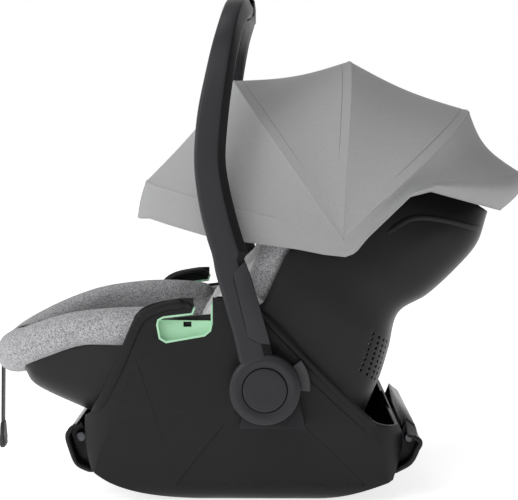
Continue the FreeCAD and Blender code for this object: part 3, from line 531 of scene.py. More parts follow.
def on_panel(points, sign):
    """A line of (x, z) points laid on the outer face of a side panel."""
    line = []
    for spot in run_points([(x, 0, z) for x, z in points], PANEL_STEP):
        found, place, normal, face = tub.ray_cast(
            Vector((spot.x * MM, sign * 0.3, spot.z * MM)), Vector((0, -sign, 0)))
        if found and abs(place.y) > 0.12:
            line.append(place)
    return line


ROLL_ASIDE = 191.5
for side, sign in SIDES:
    for name, points, wide, deep in (("front", FRONT_BORDER, 12.0, 7.0), ("rear", REAR_BORDER, 8.0, 3.6)):
        rod(f"panel_{name}_bead_{side}", on_panel(smooth_border(points), sign), wide, deep, 16,
            cradle_plastic)
    for name, points in (("hook", HOOK_BORDER), ("post", POST_BORDER)):
        line = [Vector((x, sign * ROLL_ASIDE, z)) * MM for x, z in smooth_border(points)]
        rod(f"panel_{name}_roll_{side}", line, 9.0, 15.0, 20, cradle_plastic)
    rod(f"panel_crease_{side}", on_panel(CREASE, sign), 1.6, 0.8, 8, cradle_plastic)
    line = on_panel([(x - 9, z - 9) for x, z in REAR_BORDER[1:]], sign)
    rod(f"panel_thin_bead_{side}", line, 1.8, 1.6, 10, cradle_plastic)

# ------------------------------------------------------------------------------ docking scoops
# The scoops at both ends are part of the same family of mouldings, but polished, with a lip
# round the mouth. A black-plated steel bar crosses each one for a car base to hook on.

scoop_plastic = moulded_plastic("polished_black_polypropylene", "1C1C1E", rough=0.27, depth=0.04)


def plated_steel(name, hexa):
    """Plated steel rod with drawing marks along its length."""
    material, tree, place = empty_material(name)
    stretch = add(tree, "ShaderNodeMapping", {"Vector": place, "Scale": (900.0, 12.0, 900.0)})
    marks = noise(tree, stretch.outputs["Vector"], 1.0, 4.0)
    finish_material(tree, {
        "Base Color": colour(hexa), "Metallic": 1.0,
        "Roughness": rescaled(tree, marks, to_min=0.22, to_max=0.45),
        "Normal": bumps(tree, marks, 0.1, 0.0002),
    })
    return material


def end_drop(y, z):
    """The height of a point of the rear scoop, whose upper corners are rounded down at both ends:
    from 105 mm aside to its end, 150 mm aside, and only above 60 mm."""
    share = min(1.0, max(0.0, (abs(y) - 0.105) / 0.045))
    return z if z < 0.06 else z - (z - 0.06) * 0.55 * share * share


steel = plated_steel("zinc_plated_steel", "B9BCC0")
black_steel = plated_steel("black_plated_steel", "55575B")
for end in ("front", "rear"):
    scoop = finished_copy(f"{end}_bumper", f"{end}_scoop", round_off=1.4, segments=4)
    if end == "rear":
        for vertex in scoop.data.vertices:
            vertex.co.z = end_drop(vertex.co.y, vertex.co.z)
    dress(scoop, scoop_plastic, "seat", [f"{end}_bumper"])
    moulding(f"{end}_dock_bar", f"{end}_steel_bar", black_steel, "steel", segments=3, angle=50)

# The lip round each end of a scoop: its outer profile (x, z), from the top down.
SCOOP_LIPS = {
    "front": [(-217, 90), (-226, 80), (-227, 73), (-224, 63), (-219, 48), (-215, 41), (-206, 36),
              (-194, 32)],
    "rear": [(180, 94), (191, 85), (194, 76), (191.5, 64), (186, 50), (180, 42), (170, 37), (157, 30)],
}
SCOOP_HALF = 0.148
BEAD_STEP = 0.003
for end, profile in SCOOP_LIPS.items():
    for side, sign in SIDES:
        route = [(x * MM, sign * SCOOP_HALF, z * MM) for x, z in smooth_border(profile)]
        if end == "rear":
            route = [(x, y, end_drop(y, z)) for x, y, z in route]
        line = run_points(route, BEAD_STEP)
        rod(f"{end}_scoop_lip_{side}", line, 6.0, 7.0, 16, scoop_plastic)

# ------------------------------------------------------------------------------ belt guides
# Mint polypropylene liners clipped into the two side panels, where the car's lap belt runs. Their
# free edges are rounded and look paler, because light passes through the thin lip.


def mint_plastic(name):
    """Soft mint polypropylene: a dense pastel pigment with a satin skin and a little depth."""
    material, tree, place = empty_material(name)
    skin = noise(tree, place, 700.0, 2.0)
    cloud = noise(tree, place, 30.0, 2.0)
    finish_material(tree, {
        "Base Color": two_tones(tree, cloud, "A0D0AB", "ABD8B6"), "Roughness": 0.42,
        "Normal": bumps(tree, skin, 0.08, 0.0003),
        "Subsurface Weight": 0.08, "Subsurface Scale": 0.004, "IOR": 1.49,
    })
    return material


mint = mint_plastic("mint_polypropylene")
for side in ("left", "right"):
    moulding(f"belt_guide_{side}", f"mint_guide_{side}", mint, "guide_plastic", round_off=0.6, segments=3)

# ------------------------------------------------------------------------------ bucket seat
# One deep moulding in the same black plastic. Each row is one cross-section: its lowest point on
# the middle plane (x, z), its rim (x, z), how much narrower its rim is and its flat floor's half.

STATIONS = [
    (-285, 146, -271, 172, 48, 85), (-268, 125, -247, 174, 36, 95), (-204, 96, -190, 190, 20, 108),
    (-120, 60, -106, 218, 6, 118), (-30, 38, -36, 228, 0, 122), (50, 37, -14, 232, 0, 122),
    (110, 62, 0, 236, 0, 122), (145, 128, 9, 243, 0, 122), (160, 172, 23, 273, 0, 120),
    (172, 217, 38, 300, 3, 118), (208, 239, 75, 333, 10, 112), (245, 272, 122, 360, 20, 102),
    (270, 301, 172, 372, 36, 90), (283, 338, 236, 366, 66, 70),
]
SIDE_SHAPE = [(0.0, 0.03), (0.5, 0.13), (0.8, 0.35), (0.94, 0.65), (1.0, 1.0)]
LAST_STATION = len(STATIONS) - 1
SEAT_HALF = 186.0
SHELL_WALL = 3.5


def through(points, share):
    """A point of the smooth curve that runs through given points, share from 0 to 1."""
    span = min(max(share, 0.0), 1.0) * (len(points) - 1)
    index = min(int(span), len(points) - 2)
    t = span - index
    a, b = points[index], points[index + 1]
    before = points[index - 1] if index else [2 * p - q for p, q in zip(a, b)]
    after = points[index + 2] if index + 2 < len(points) else [2 * q - p for p, q in zip(a, b)]
    return [
        0.5 * (2 * p + (q - o) * t + (2 * o - 5 * p + 4 * q - r) * t ** 2 + (3 * p - o - 3 * q + r) * t ** 3)
        for o, p, q, r in zip(before, a, b, after)
    ]


def bucket(station, aside, inset=0.0, drop=0.0):
    """A point of the bucket at a station, aside from -1 (left rim) to 1, inset from the outside."""
    x, z, rim_x, rim_z, narrower, floor_half = through(STATIONS, station / LAST_STATION)
    depth = math.hypot(rim_x - x, rim_z - z)
    rim = SEAT_HALF - narrower - inset
    base = floor_half - 0.4 * inset
    top = depth - drop
    half = [(0.0, inset), (0.5 * base, inset)]
    half += [(base + (rim - base) * out, inset + (top - inset) * up) for out, up in SIDE_SHAPE]
    y, up = through(half, abs(aside))
    return Vector((x + (rim_x - x) / depth * up, math.copysign(y, aside), z + (rim_z - z) / depth * up)) * MM


shell_plastic = moulded_plastic("matt_black_shell_plastic", "151517", rough=0.38, shine=0.26)
shell = formed("bucket_shell", 96, 120, lambda u, v: bucket(v * LAST_STATION, 2 * u - 1))
modify(shell, "SOLIDIFY", thickness=SHELL_WALL * MM, offset=-1.0)
face_out(shell)

# Air vents: four columns of drilled holes low on each corner of the back.
VENT_COLUMNS = 4
VENT_ROWS = 8
VENT_RADIUS = 2.1
LOWEST_VENT = (7.15, 0.41)  # its station and its share of the half width
VENT_STEP = (0.15, 0.05)
drills = []
for column in range(VENT_COLUMNS):
    for row in range(VENT_ROWS):
        station = LOWEST_VENT[0] + VENT_STEP[0] * row
        aside = LOWEST_VENT[1] + VENT_STEP[1] * column
        for _, sign in SIDES:
            centre = bucket(station, sign * aside)
            upward = bucket(station + 0.05, sign * aside) - centre
            outward = upward.cross(bucket(station, sign * (aside + 0.02)) - centre).normalized()
            bpy.ops.object.select_all(action="DESELECT")
            bpy.ops.mesh.primitive_cylinder_add(
                vertices=8, radius=VENT_RADIUS * MM, depth=16 * MM, location=centre,
                rotation=outward.to_track_quat("Z", "Y").to_euler())
            drills.append(bpy.context.object)
bpy.ops.object.select_all(action="DESELECT")
for drill in drills:
    drill.select_set(True)
bpy.context.view_layer.objects.active = drills[0]
bpy.ops.object.join()
modify(shell, "BOOLEAN", operation="DIFFERENCE", solver="EXACT", object=drills[0])
bpy.data.objects.remove(drills[0])
bevel(shell, 1.2, 50)
smooth(shell, 35)
dress(shell, shell_plastic, "seat", ["seat_shell"])

# A moulded step below the rim of the head end, on both sides (x, z).
SHELL_STEP = [(150, 318), (166, 330), (181, 336.5), (202, 336), (231, 330), (262, 321), (281, 320)]
for side, sign in SIDES:
    line = []
    for spot in run_points([(x, 0, z) for x, z in smooth_border(SHELL_STEP)], 4):
        start = Vector((spot.x, sign * 300, spot.z)) * MM
        found, place, normal, face = shell.ray_cast(start, Vector((0, -sign, 0)))
        if found:
            line.append(place)
    rod(f"shell_step_{side}", line, 7.0, 3.4, 16, shell_plastic)

# ------------------------------------------------------------------------------ foam liner
# Energy-absorbing bead foam between the shell and the cover: pale, closed beads 2 to 3 mm across.


def bead_foam(name):
    """Expanded polypropylene: pressed beads with a fine dark line between them."""
    material, tree, place = empty_material(name)
    beads = add(tree, "ShaderNodeTexVoronoi", {"Vector": place, "Scale": 380.0}, feature="DISTANCE_TO_EDGE")
    tone = add(tree, "ShaderNodeValToRGB", {"Fac": beads.outputs["Distance"]})
    tone.color_ramp.elements[0].color = colour("8F8F8C")
    tone.color_ramp.elements[1].color = colour("D8D8D4")
    tone.color_ramp.elements[1].position = 0.12
    finish_material(tree, {
        "Base Color": tone.outputs["Color"], "Roughness": 0.85,
        "Normal": bumps(tree, beads.outputs["Distance"], 0.5, 0.001),
    })
    return material


moulding("foam_liner", "bead_foam_liner", bead_foam("expanded_bead_foam"), "foam", round_off=0.0)

# ------------------------------------------------------------------------------ padded cover
# Melange knit over wadding: a padded lip that wraps the shell's rim round the legs, another up
# the two sides of the back, and quilted cushions between them, sewn along the panel joins.


STITCH = 1.2
CLOTH_FRAMES = 20


def melange_knit(name, dark, light, contrast):
    """Melange knit: loops 1.2 mm apart, drawn a little coarse, in yarn of two mixed greys that
    gives short dark and light flecks, with a soft sheen."""
    material, tree, place = empty_material(name)
    loops = add(tree, "ShaderNodeTexVoronoi", {"Vector": place, "Scale": 1 / (STITCH * MM)})
    flecks = noise(tree, place, 0.9 / (STITCH * MM), 4.0, Roughness=0.75)
    mixed = combine(tree, loops.outputs["Color"], flecks, "ADD")
    share = rescaled(tree, mixed, from_min=1.0 - contrast, from_max=1.0 + contrast)
    finish_material(tree, {
        "Base Color": two_tones(tree, share, dark, light), "Roughness": 0.9,
        "Normal": bumps(tree, loops.outputs["Distance"], 0.6, 0.0008, invert=True),
        "Sheen Weight": 0.2, "Sheen Roughness": 0.5, "Specular IOR Level": 0.2,
    })
    return material


def stuffed(piece, voxel, cap, pressure=4.0):
    """Fills a sewn case with wadding: an even mesh is blown up as cloth and held within a cap
    of its shape (m)."""
    modify(piece, "REMESH", mode="VOXEL", voxel_size=voxel)
    start = [vertex.co.copy() for vertex in piece.data.vertices]
    cloth = piece.modifiers.new("wadding", "CLOTH")
    cloth.settings.use_pressure = True
    cloth.settings.uniform_pressure_force = pressure
    cloth.settings.effector_weights.gravity = 0.0
    cloth.point_cache.frame_end = CLOTH_FRAMES
    for step in range(1, CLOTH_FRAMES + 1):
        bpy.context.scene.frame_set(step)
    only(piece)
    bpy.ops.object.modifier_apply(modifier=cloth.name)
    bpy.context.scene.frame_set(1)
    for vertex, at in zip(piece.data.vertices, start):
        move = vertex.co - at
        if move.length > cap:
            vertex.co = at + move * (cap / move.length)
    modify(piece, "SMOOTH", factor=0.5, iterations=3)
    modify(piece, "SUBSURF", levels=1, render_levels=1)
    smooth(piece, 60)


def pad(piece, voxel, cap, cloth, stands_for=(), body="seat", pressure=4.0):
    """A stuffed piece, dressed."""
    stuffed(piece, voxel, cap, pressure)
    dress(piece, cloth, body, stands_for)


def sew(piece, line, pull, reach, thread_name, thread, width):
    """Pulls a stuffed piece in along a sewn line and lays the thread in the groove."""
    spots = [piece.closest_point_on_mesh(spot) for spot in line]
    laid = [place for found, place, normal, face in spots if found]
    for vertex in piece.data.vertices:
        near = min((vertex.co - spot).length for spot in laid)
        if near < reach:
            vertex.co -= vertex.normal * pull * (1 - near / reach) ** 2
    sunk = [place - normal * pull * 0.7 for found, place, normal, face in spots if found]
    normals = [normal for found, place, normal, face in spots if found]
    rod(thread_name, sunk, width, width, 6, thread, out=normals[len(normals) // 2])


knit = melange_knit("grey_melange_knit", "767678", "BEBEC0", contrast=0.38)
thread = webbing_cloth("grey_sewing_thread", "4A4A4C")

# The lip round the legs: x, distance aside, crest, lower edge and half thickness (mm).
LIP_ROWS = [
    (-66, 163, 222, 198, 9), (-78, 162, 228, 193, 15), (-110, 161, 231, 189, 20), (-151, 162, 231, 186, 24),
    (-204, 151, 226, 185, 27), (-236, 139, 219, 171, 28), (-266, 121, 208, 155, 29), (-289, 93, 197, 143, 28),
    (-302, 52, 190, 137, 26), (-305, 0, 188, 135, 24),
]
LIP_ROWS = LIP_ROWS + [(x, -y, crest, low, half) for x, y, crest, low, half in LIP_ROWS[-2::-1]]


LIP_LEAN = 5.0


def on_lip(u, v):
    """A point of the lip, u round its section and v along it. It leans in towards its crest."""
    x, y, crest, low, half = through(LIP_ROWS, v)
    ahead = Vector(through(LIP_ROWS, v + 0.01)[:2]) - Vector(through(LIP_ROWS, v - 0.01)[:2])
    outward = Vector((-ahead.y, ahead.x)).normalized()
    if outward.x * x + outward.y * y < 0:
        outward = -outward
    turn = 2 * math.pi * u
    across, up = math.cos(turn), math.sin(turn)
    fat = 1.0 if across > 0 else 0.8
    shift = half * fat * squared(across, 0.8) - LIP_LEAN * max(0.0, up)
    middle = (crest + low) / 2
    height = middle + (crest - low) / 2 * squared(up, 0.85)
    tip = 0.25 + 0.75 * min(1.0, min(v, 1 - v) / 0.02)
    return ((x + outward.x * shift * tip) * MM, (y + outward.y * shift * tip) * MM,
            (middle + (height - middle) * tip) * MM)


lip = formed("leg_lip_padding", 40, 160, on_lip, tube=True)
stuffed(lip, 0.005, 0.004, pressure=3.0)
# The seam runs round the lip's outside from the left leg over the foot end to the right leg.
SEAM_HALF = [(-70, 214, 214), (-151, 205, 213), (-204, 190, 207), (-262, 160, 184), (-305, 110, 167),
             (-340, 0, 163)]
SEAM_STEPS = 40
left_seam, right_seam = [
    [Vector(through([(x, sign * y, z) for x, y, z in SEAM_HALF], k / SEAM_STEPS)) * MM
     for k in range(SEAM_STEPS + 1)]
    for _, sign in SIDES
]
sew(lip, left_seam + right_seam[-2::-1], 0.0022, 0.007, "leg_lip_seam", thread, 0.8)
dress(lip, knit, "seat", ["foot_roll", "leg_bolster_left", "leg_bolster_right"])

CROWN = 4.0


def cushion(name, first, last, near, far, reach, sideways, along):
    """A closed quilted slab that lies along the bucket between two stations and two depths (mm),
    out to a share of the bucket's width, a crown thicker in its middle."""
    def place(u, v):
        turn = 2 * math.pi * u
        aside = max(-1.0, min(1.0, 1.25 * math.cos(turn))) * reach
        share = (1 + max(-1.0, min(1.0, 1.6 * math.sin(turn)))) / 2
        depth = near + (far - near) * share + CROWN * share * math.sin(math.pi * v) ** 0.5
        return bucket(first + (last - first) * v, aside, depth, drop=2.0)
    return formed(name, sideways, along, place, tube=True)


# The cover's three cushions: stations, rows, the remesh step (m) and the node.
for name, first, last, along, voxel, node in (("leg_cushion", 0.9, 3.96, 64, 0.005, "leg_cover"),
                                              ("hip_cushion", 4.02, 5.0, 30, 0.005, "seat_pad"),
                                              ("back_cushion", 5.06, 12.6, 100, 0.006, "backrest_cover")):
    slab = cushion(name, first, last, 20.9, 31.0, 0.98, 96, along)
    pad(slab, voxel, voxel, knit, [node])

# The lip up each side of the back: it stands out past the shell's rim and hides its edge.


def on_side_lip(side):
    """Gives the shape of one side's lip: u round its section and v up the back."""
    def place(u, v):
        station = 6.55 + 6.3 * v
        rim = bucket(station, side)
        inner = bucket(station, side, 0.0, 12.0)
        ahead = (rim - inner).normalized()
        inward = Vector((0, -side, 0))
        turn = 2 * math.pi * u
        grow = 0.3 + 0.7 * min(1.0, v / 0.04, (1 - v) / 0.06)
        reach = 13.0 + 19.0 * squared(math.cos(turn), 0.8) * grow
        deep = 15.0 + 13.0 * squared(math.sin(turn), 0.8) * grow
        return rim + ahead * reach * MM + inward * (deep + 3.0) * MM
    return place


for side, sign in SIDES:
    side_lip = formed(f"back_lip_{side}", 36, 120, on_side_lip(sign), tube=True)
    pad(side_lip, 0.005, 0.004, knit, pressure=3.0)

# ------------------------------------------------------------------------------ newborn insert
# A loose reducer in very light jersey: a seat-and-back pad with two side wings that hold the hips.

jersey = melange_knit("light_melange_jersey", "C6C6C6", "F2F2F2", contrast=0.9)
insert = cushion("insert_pad", 3.05, 9.3, 32.2, 47.0, 0.40, 72, 90)
pad(insert, 0.006, 0.008, jersey, ["newborn_insert"])
# Middle line of a wing (x, z), its height across and its thickness.
WING_ROWS = [(-78, 120, 40, 8), (-64, 150, 62, 22), (-50, 182, 76, 24), (-30, 214, 82, 24),
             (-6, 244, 80, 22), (18, 274, 66, 20), (34, 298, 44, 8)]
WING_ASIDE = 105
for side, sign in SIDES:
    def on_wing(u, v):
        x, z, tall, thick = through(WING_ROWS, v)
        turn = 2 * math.pi * u
        up = squared(math.cos(turn), 0.8) * tall / 2
        deep = squared(math.sin(turn), 0.9) * thick / 2
        return ((x - 0.78 * up) * MM, sign * (WING_ASIDE + deep) * MM, (z + 0.42 * up) * MM)
    wing = formed(f"insert_wing_{side}", 40, 60, on_wing, tube=True)
    pad(wing, 0.005, 0.005, jersey, ["insert_wings"] if side == "left" else [])

# ------------------------------------------------------------------------------ hubs and handle
# The carry handle is one hollow moulding in dark grey nylon: two arms with round hubs and a cross
# bar. Its arms are flat outside, with a bevel and a let-in trim plate. A strip of the black plastic
# laid over each arm's rear bevel is painted shade for the side face that turns away from the light.

handle_plastic = moulded_plastic("satin_dark_nylon", "2B2B2E", rough=0.42, shine=0.25)
button_plastic = moulded_plastic("satin_dark_nylon_button", "2D2D30", rough=0.4)
HANDLE_FACE = 220.5
ARM_MIDDLE = 212.0
# Front edge x, rear edge x, distance inwards, height and thickness, from the hub up to the notch.
LOW_ARM = [(-20.0, 18.5, 0, 174, 17), (-22.9, 15.9, 0, 186, 17), (-26.6, 11.5, 0, 204, 17),
           (-30.9, 6.4, 0, 223, 17), (-38.0, 0.8, 0, 245, 17), (-45.3, -5.8, 0, 268, 17),
           (-49.6, -15.4, 0, 292, 17)]
# The same from the notch up to the middle of the cross bar.
HIGH_ARM = [
    (-51.5, -11.7, 0, 300, 17), (-59.4, -20.0, 0, 325, 17), (-66.7, -29.0, 0, 359, 17),
    (-70.9, -35.7, 0, 393, 17), (-70.8, -36.4, 0.5, 415, 17), (-69.3, -34.6, 2, 438, 17),
    (-65.5, -31.7, 4, 468, 18), (-59.5, -28.0, 9, 494, 19), (-54.0, -24.0, 17, 522, 21),
    (-47.0, -19.0, 34, 549, 23), (-41.0, -14.0, 64, 572, 25), (-38.0, -8.0, 107, 584, 26),
    (-36.5, -6.5, 157, 588, 27), (-36.0, -6.0, 212, 589, 27),
]
NOTCH_ROW = 34
HANDLE_ROWS = 190
BLEND_ROWS = 9


def handle_row(index):
    """One row of the handle's left half, from the hub to the middle of the cross bar, which is
    evened out with the rows beside it so that the arm bends smoothly."""
    first, last, arm = 0, NOTCH_ROW, LOW_ARM
    if index > NOTCH_ROW:
        first, last, arm = NOTCH_ROW + 1, HANDLE_ROWS, HIGH_ARM
    reach = min(BLEND_ROWS, index - first, last - index)
    rows = [through(arm, (near - first) / (last - first)) for near in range(index - reach, index + reach + 1)]
    return [sum(row[k] for row in rows) / len(rows) for k in range(5)]


# Sections of the arm and of the painted shade strip on its rear bevel, from -1 to 1 front to rear and inside
# to outside.
HANDLE_PROFILE = [
    (-1.0, -0.45), (-0.93, -0.82), (-0.78, -1.0), (-0.3, -1.0), (0.2, -1.0), (0.52, -0.97), (0.62, -0.86),
    (0.9, -0.2), (1.0, 0.05), (1.0, 0.55), (0.92, 0.86), (0.72, 1.0), (0.2, 1.0), (-0.3, 1.0), (-0.78, 1.0),
    (-0.94, 0.84), (-1.0, 0.5), (-1.0, 0.0),
]
SHADE_PROFILE = [
    (0.58, -0.98), (0.66, -0.90), (0.95, -0.22), (1.045, 0.04), (1.045, 0.52), (0.98, 0.50),
    (0.90, -0.1), (0.60, -0.80),
]


def on_handle(u, v, profile=HANDLE_PROFILE):
    """A point of the handle: u round its section, v along it from the left hub to the right one.
    The section's corners are rounded off above 500 mm, where the arms bend into the cross bar."""
    at = round(v * 2 * HANDLE_ROWS)
    mirror = at > HANDLE_ROWS
    index = 2 * HANDLE_ROWS - at if mirror else at
    front, rear, inward, z, deep = handle_row(index)
    low = handle_row(max(index - 1, 0))
    high = handle_row(min(index + 1, HANDLE_ROWS))
    ahead = Vector((0, high[2] - low[2], high[3] - low[3])).normalized()
    thick = Vector((0, ahead.z, -ahead.y))
    a, b = profile[round(u * len(profile)) % len(profile)]
    soften = min(1.0, max(0.0, (z - 500) / 60))
    b_round = b * (1 - 0.12 * soften * a * a)
    middle, half = (front + rear) / 2, (rear - front) / 2
    spot = Vector((middle + a * half, -(ARM_MIDDLE - inward), z)) + thick * b_round * deep / 2
    if mirror:
        spot.y = -spot.y
    return spot * MM


handle = formed("carry_handle", len(HANDLE_PROFILE), 2 * HANDLE_ROWS, on_handle, tube=True)
bevel(handle, 0.9, 24)
smooth(handle, 30)
dress(handle, handle_plastic, "handle", ["handle_frame"])
# Painted shade: a strip of the darker black plastic over the rear bevel, for the side face turned away from
# the light.
edge = formed("handle_rear_painted_shade", len(SHADE_PROFILE), 2 * HANDLE_ROWS,
              lambda u, v: on_handle(u, v, SHADE_PROFILE), tube=True)
smooth(edge, 35)
dress(edge, cradle_plastic, "handle")

HUB_X, HUB_Z = 8.9, 143.5


def side_disc(name, radius, near, far, sign):
    """A round blank on the hub's axis between two distances from the middle plane (mm)."""
    bpy.ops.object.select_all(action="DESELECT")
    middle = sign * (near + far) / 2
    bpy.ops.mesh.primitive_cylinder_add(
        vertices=96, radius=radius * MM, depth=(far - near) * MM,
        location=(HUB_X * MM, middle * MM, HUB_Z * MM), rotation=(math.pi / 2, 0, 0))
    piece = bpy.context.object
    piece.name = name
    bpy.ops.object.transform_apply(location=True, rotation=True, scale=True)
    return piece


def pick_face(piece, out):
    """Enters edit mode with only the big flat end that faces out selected."""
    only(piece)
    bpy.ops.object.mode_set(mode="EDIT")
    bpy.ops.mesh.select_mode(type="FACE")
    bpy.ops.mesh.select_all(action="DESELECT")
    bpy.ops.object.mode_set(mode="OBJECT")
    for face in piece.data.polygons:
        face.select = face.normal.dot(Vector(out)) > 0.99 and len(face.vertices) > 20
    bpy.ops.object.mode_set(mode="EDIT")


def step_face(sign, steps):
    """Insets the selected end and moves it out, once for each step: how far in, how far out (mm)."""
    for inward, outward in steps:
        bpy.ops.mesh.inset(thickness=inward * MM)
        bpy.ops.transform.translate(value=(0, sign * outward * MM, 0))


RING_STEPS = ((2.5, 1.8), (3.0, 1.2), (2.5, 0.4), (3.7, -0.9), (3.0, -0.6))
RING_PIT = 13.0
CAP_STEPS = ((2.4, 0.45), (11.0, -0.5))
for side, sign in SIDES:
    ring = side_disc(f"hub_ring_{side}", 40.5, 203.5, 218.6, sign)
    pick_face(ring, (0, sign, 0))
    step_face(sign, RING_STEPS)
    bpy.ops.mesh.extrude_region_move(TRANSFORM_OT_translate={"value": (0, -sign * RING_PIT * MM, 0)})
    bpy.ops.object.mode_set(mode="OBJECT")
    bevel(ring, 0.7, 30, segments=3)
    smooth(ring, 30)
    dress(ring, handle_plastic, "handle")
    cap = side_disc(f"hub_button_cap_{side}", 25.0, 213.5, 222.0, sign)
    pick_face(cap, (0, sign, 0))
    step_face(sign, CAP_STEPS)
    bpy.ops.object.mode_set(mode="OBJECT")
    bevel(cap, 0.6, 40, segments=3)
    smooth(cap, 30)
    dress(cap, button_plastic, f"hub_press_{side}", [f"hub_button_{side}"])
    moulding(f"arm_cover_{side}", f"arm_trim_{side}", handle_plastic, "handle_plastic", "handle",
             round_off=0.5)
    moulding(f"hub_housing_{side}", f"hub_seat_{side}", cradle_plastic, "shell_plastic", round_off=0.6)

# The gap round each let-in trim plate (x, z), drawn as painted shade: a thin bead of the darker polished
# plastic laid on the arm's face along it.
TRIM_SHADE_LINE = [(-13.0, 291), (-27, 277), (-26, 268), (-22, 252), (-11, 206), (-6, 200), (13, 195)]
for side, sign in SIDES:
    aside = sign * (HANDLE_FACE + 0.25) * MM
    line = run_points([(x * MM, aside, z * MM) for x, z in smooth_border(TRIM_SHADE_LINE)], BEAD_STEP)
    rod(f"trim_painted_shade_{side}", line, 1.0, 0.7, 6, scoop_plastic, "handle")

# The grip is a thin rubber sleeve moulded over the middle of the cross bar.
moulding("handle_grip", "rubber_grip", tab_rubber, "tab_rubber", "handle", segments=3, join=3)

socket_plastic = moulded_plastic("satin_black_nylon", "212124", rough=0.42)
lever_plastic = moulded_plastic("mid_grey_nylon", "474749", rough=0.5)
for side in ("left", "right"):
    moulding(f"release_lever_{side}", f"adapter_lever_{side}", lever_plastic, "lever_plastic",
             f"lever_{side}", round_off=1.0, segments=3)
    moulding(f"adapter_latch_{side}", f"adapter_bolt_{side}", lever_plastic, "lever_plastic",
             f"latch_{side}", round_off=0.5)
    moulding(f"lock_gear_{side}", f"lock_wheel_{side}", lever_plastic, "lever_plastic",
             f"hub_press_{side}", round_off=0.3)
    moulding(f"adapter_socket_{side}", f"adapter_box_{side}", socket_plastic, "shell_plastic",
             round_off=0.9)

# ------------------------------------------------------------------------------ canopy
# Four sprung steel bows on one pin a side, and a sun hood of smooth woven polyester stretched over
# them. Each bow runs in a sewn sleeve, and one row of stitches shows beside a ridge.

PIVOT = (97.0, 315.0)
HOOD_HALF = 197.0
ARCH = 2 / 3.2
# Each rib as seen from the side: points from its foot by the pin to its top, with their shares.
FIRST_TURN = math.radians(1.5)
FOOT = math.sin(FIRST_TURN) ** ARCH
RIBS = {
    "hem": [(FOOT, 101.3, 293.5), (0.18, 76, 296.5), (0.26, 45.5, 303), (0.6, -60, 318), (0.86, -128, 336),
            (1.0, -150, 333)],
    "peak": [(FOOT, 98.8, 313), (0.3, 26.5, 336), (1.0, -141, 375)],
    "front": [(FOOT, 98.5, 313), (0.3, 57, 372), (1.0, -32, 500)],
    "mid": [(FOOT, 98.2, 313), (0.3, 101.5, 380), (1.0, 112, 524)],
    "rear": [(FOOT, 97.9, 313), (0.3, 147, 361), (1.0, 258.5, 463.5)],
    "nape": [(FOOT, 100.2, 300), (0.16, 113, 305), (0.3, 131, 322), (0.5, 178, 367), (0.62, 203, 376),
             (1.0, 326, 386)],
    "rear_hem": [(FOOT, 100.2, 293.5), (0.16, 112, 298), (0.3, 125, 315), (0.5, 174, 363), (0.62, 199, 369),
                 (1.0, 301, 341)],
}


def rib_point(name, along):
    """A point of one rib: along 0 at the left foot, 0.5 at the top and 1 at the right foot."""
    turn = FIRST_TURN + (math.pi - 2 * FIRST_TURN) * along
    rise = math.sin(turn) ** ARCH
    side = -math.copysign(abs(math.cos(turn)) ** ARCH, math.cos(turn))
    rows = RIBS[name]
    low, high = next((pair for pair in zip(rows, rows[1:]) if rise <= pair[1][0]), (rows[-2], rows[-1]))
    part = (rise - low[0]) / (high[0] - low[0])
    return Vector((low[1] + (high[1] - low[1]) * part, side * HOOD_HALF, low[2] + (high[2] - low[2]) * part))


def towards_pin(spot):
    """The direction from a point of the canopy to the pin's axis."""
    return (Vector((PIVOT[0], 0, PIVOT[1])) - spot).normalized()


def hood_point(first, last, sag, along, share):
    """A point of the cloth between two ribs, which hangs a little hollow, as cut cloth does."""
    spot = rib_point(first, along).lerp(rib_point(last, along), share)
    return spot + towards_pin(spot) * sag * math.sin(math.pi * share) * math.sin(math.pi * along) ** 0.7


def hood_panel(name, first, last, sag):
    piece = formed(name, 28, 150, lambda u, v: hood_point(first, last, sag, v, u) * MM)
    modify(piece, "SOLIDIFY", thickness=0.0012, offset=0.0)
    face_out(piece)
    smooth(piece, 60)
    return piece


def hood_cloth(name, hexa):
    """Plain-woven polyester: threads a third of a millimetre apart, drawn at 1.8 mm, with a
    slight slub and a soft bloom that lightens it at a glancing angle."""
    material, tree, place = empty_material(name)
    warp, weft = (
        add(tree, "ShaderNodeTexWave", {
            "Vector": place, "Scale": 170.0, "Distortion": 0.4, "Detail": 1.0,
        }, bands_direction=way).outputs["Fac"]
        for way in ("X", "Z")
    )
    weave = combine(tree, warp, weft, "MULTIPLY")
    slub = noise(tree, place, 420.0, 3.0)
    finish_material(tree, {
        "Base Color": two_tones(tree, slub, hexa, "9E9E9F"), "Roughness": 0.85,
        "Normal": bumps(tree, weave, 0.12, 0.0003),
        "Sheen Weight": 0.1, "Sheen Roughness": 0.6, "Specular IOR Level": 0.2,
    })
    return material


hood = hood_cloth("woven_grey_polyester", "929293")
hood_thread = webbing_cloth("hood_thread", "767678")
panels = [
    ("hood_visor", "hem", "peak", -1.5, "canopy_peak", None, ["canopy_visor"]),
    ("hood_front_panel", "peak", "front", 4.0, "canopy_peak", "canopy_front", ["canopy_front_panel"]),
    ("hood_mid_panel", "front", "mid", 7.0, "canopy_front", "canopy_mid", ["canopy_mid_panel"]),
    ("hood_back_panel", "mid", "rear", 6.0, "canopy_mid", "seat", ["canopy_back_panel"]),
    ("hood_rear_panel", "rear", "nape", 12.0, "seat", None, ["canopy_rear_panel"]),
    ("hood_nape_panel", "nape", "rear_hem", -12.0, "seat", None, []),
]
for name, first, last, sag, body, other, stands_for in panels:
    panel = hood_panel(name, first, last, sag)
    dress(panel, hood, None, stands_for)
    if other:
        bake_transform(panel)
    else:
        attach(panel, body)

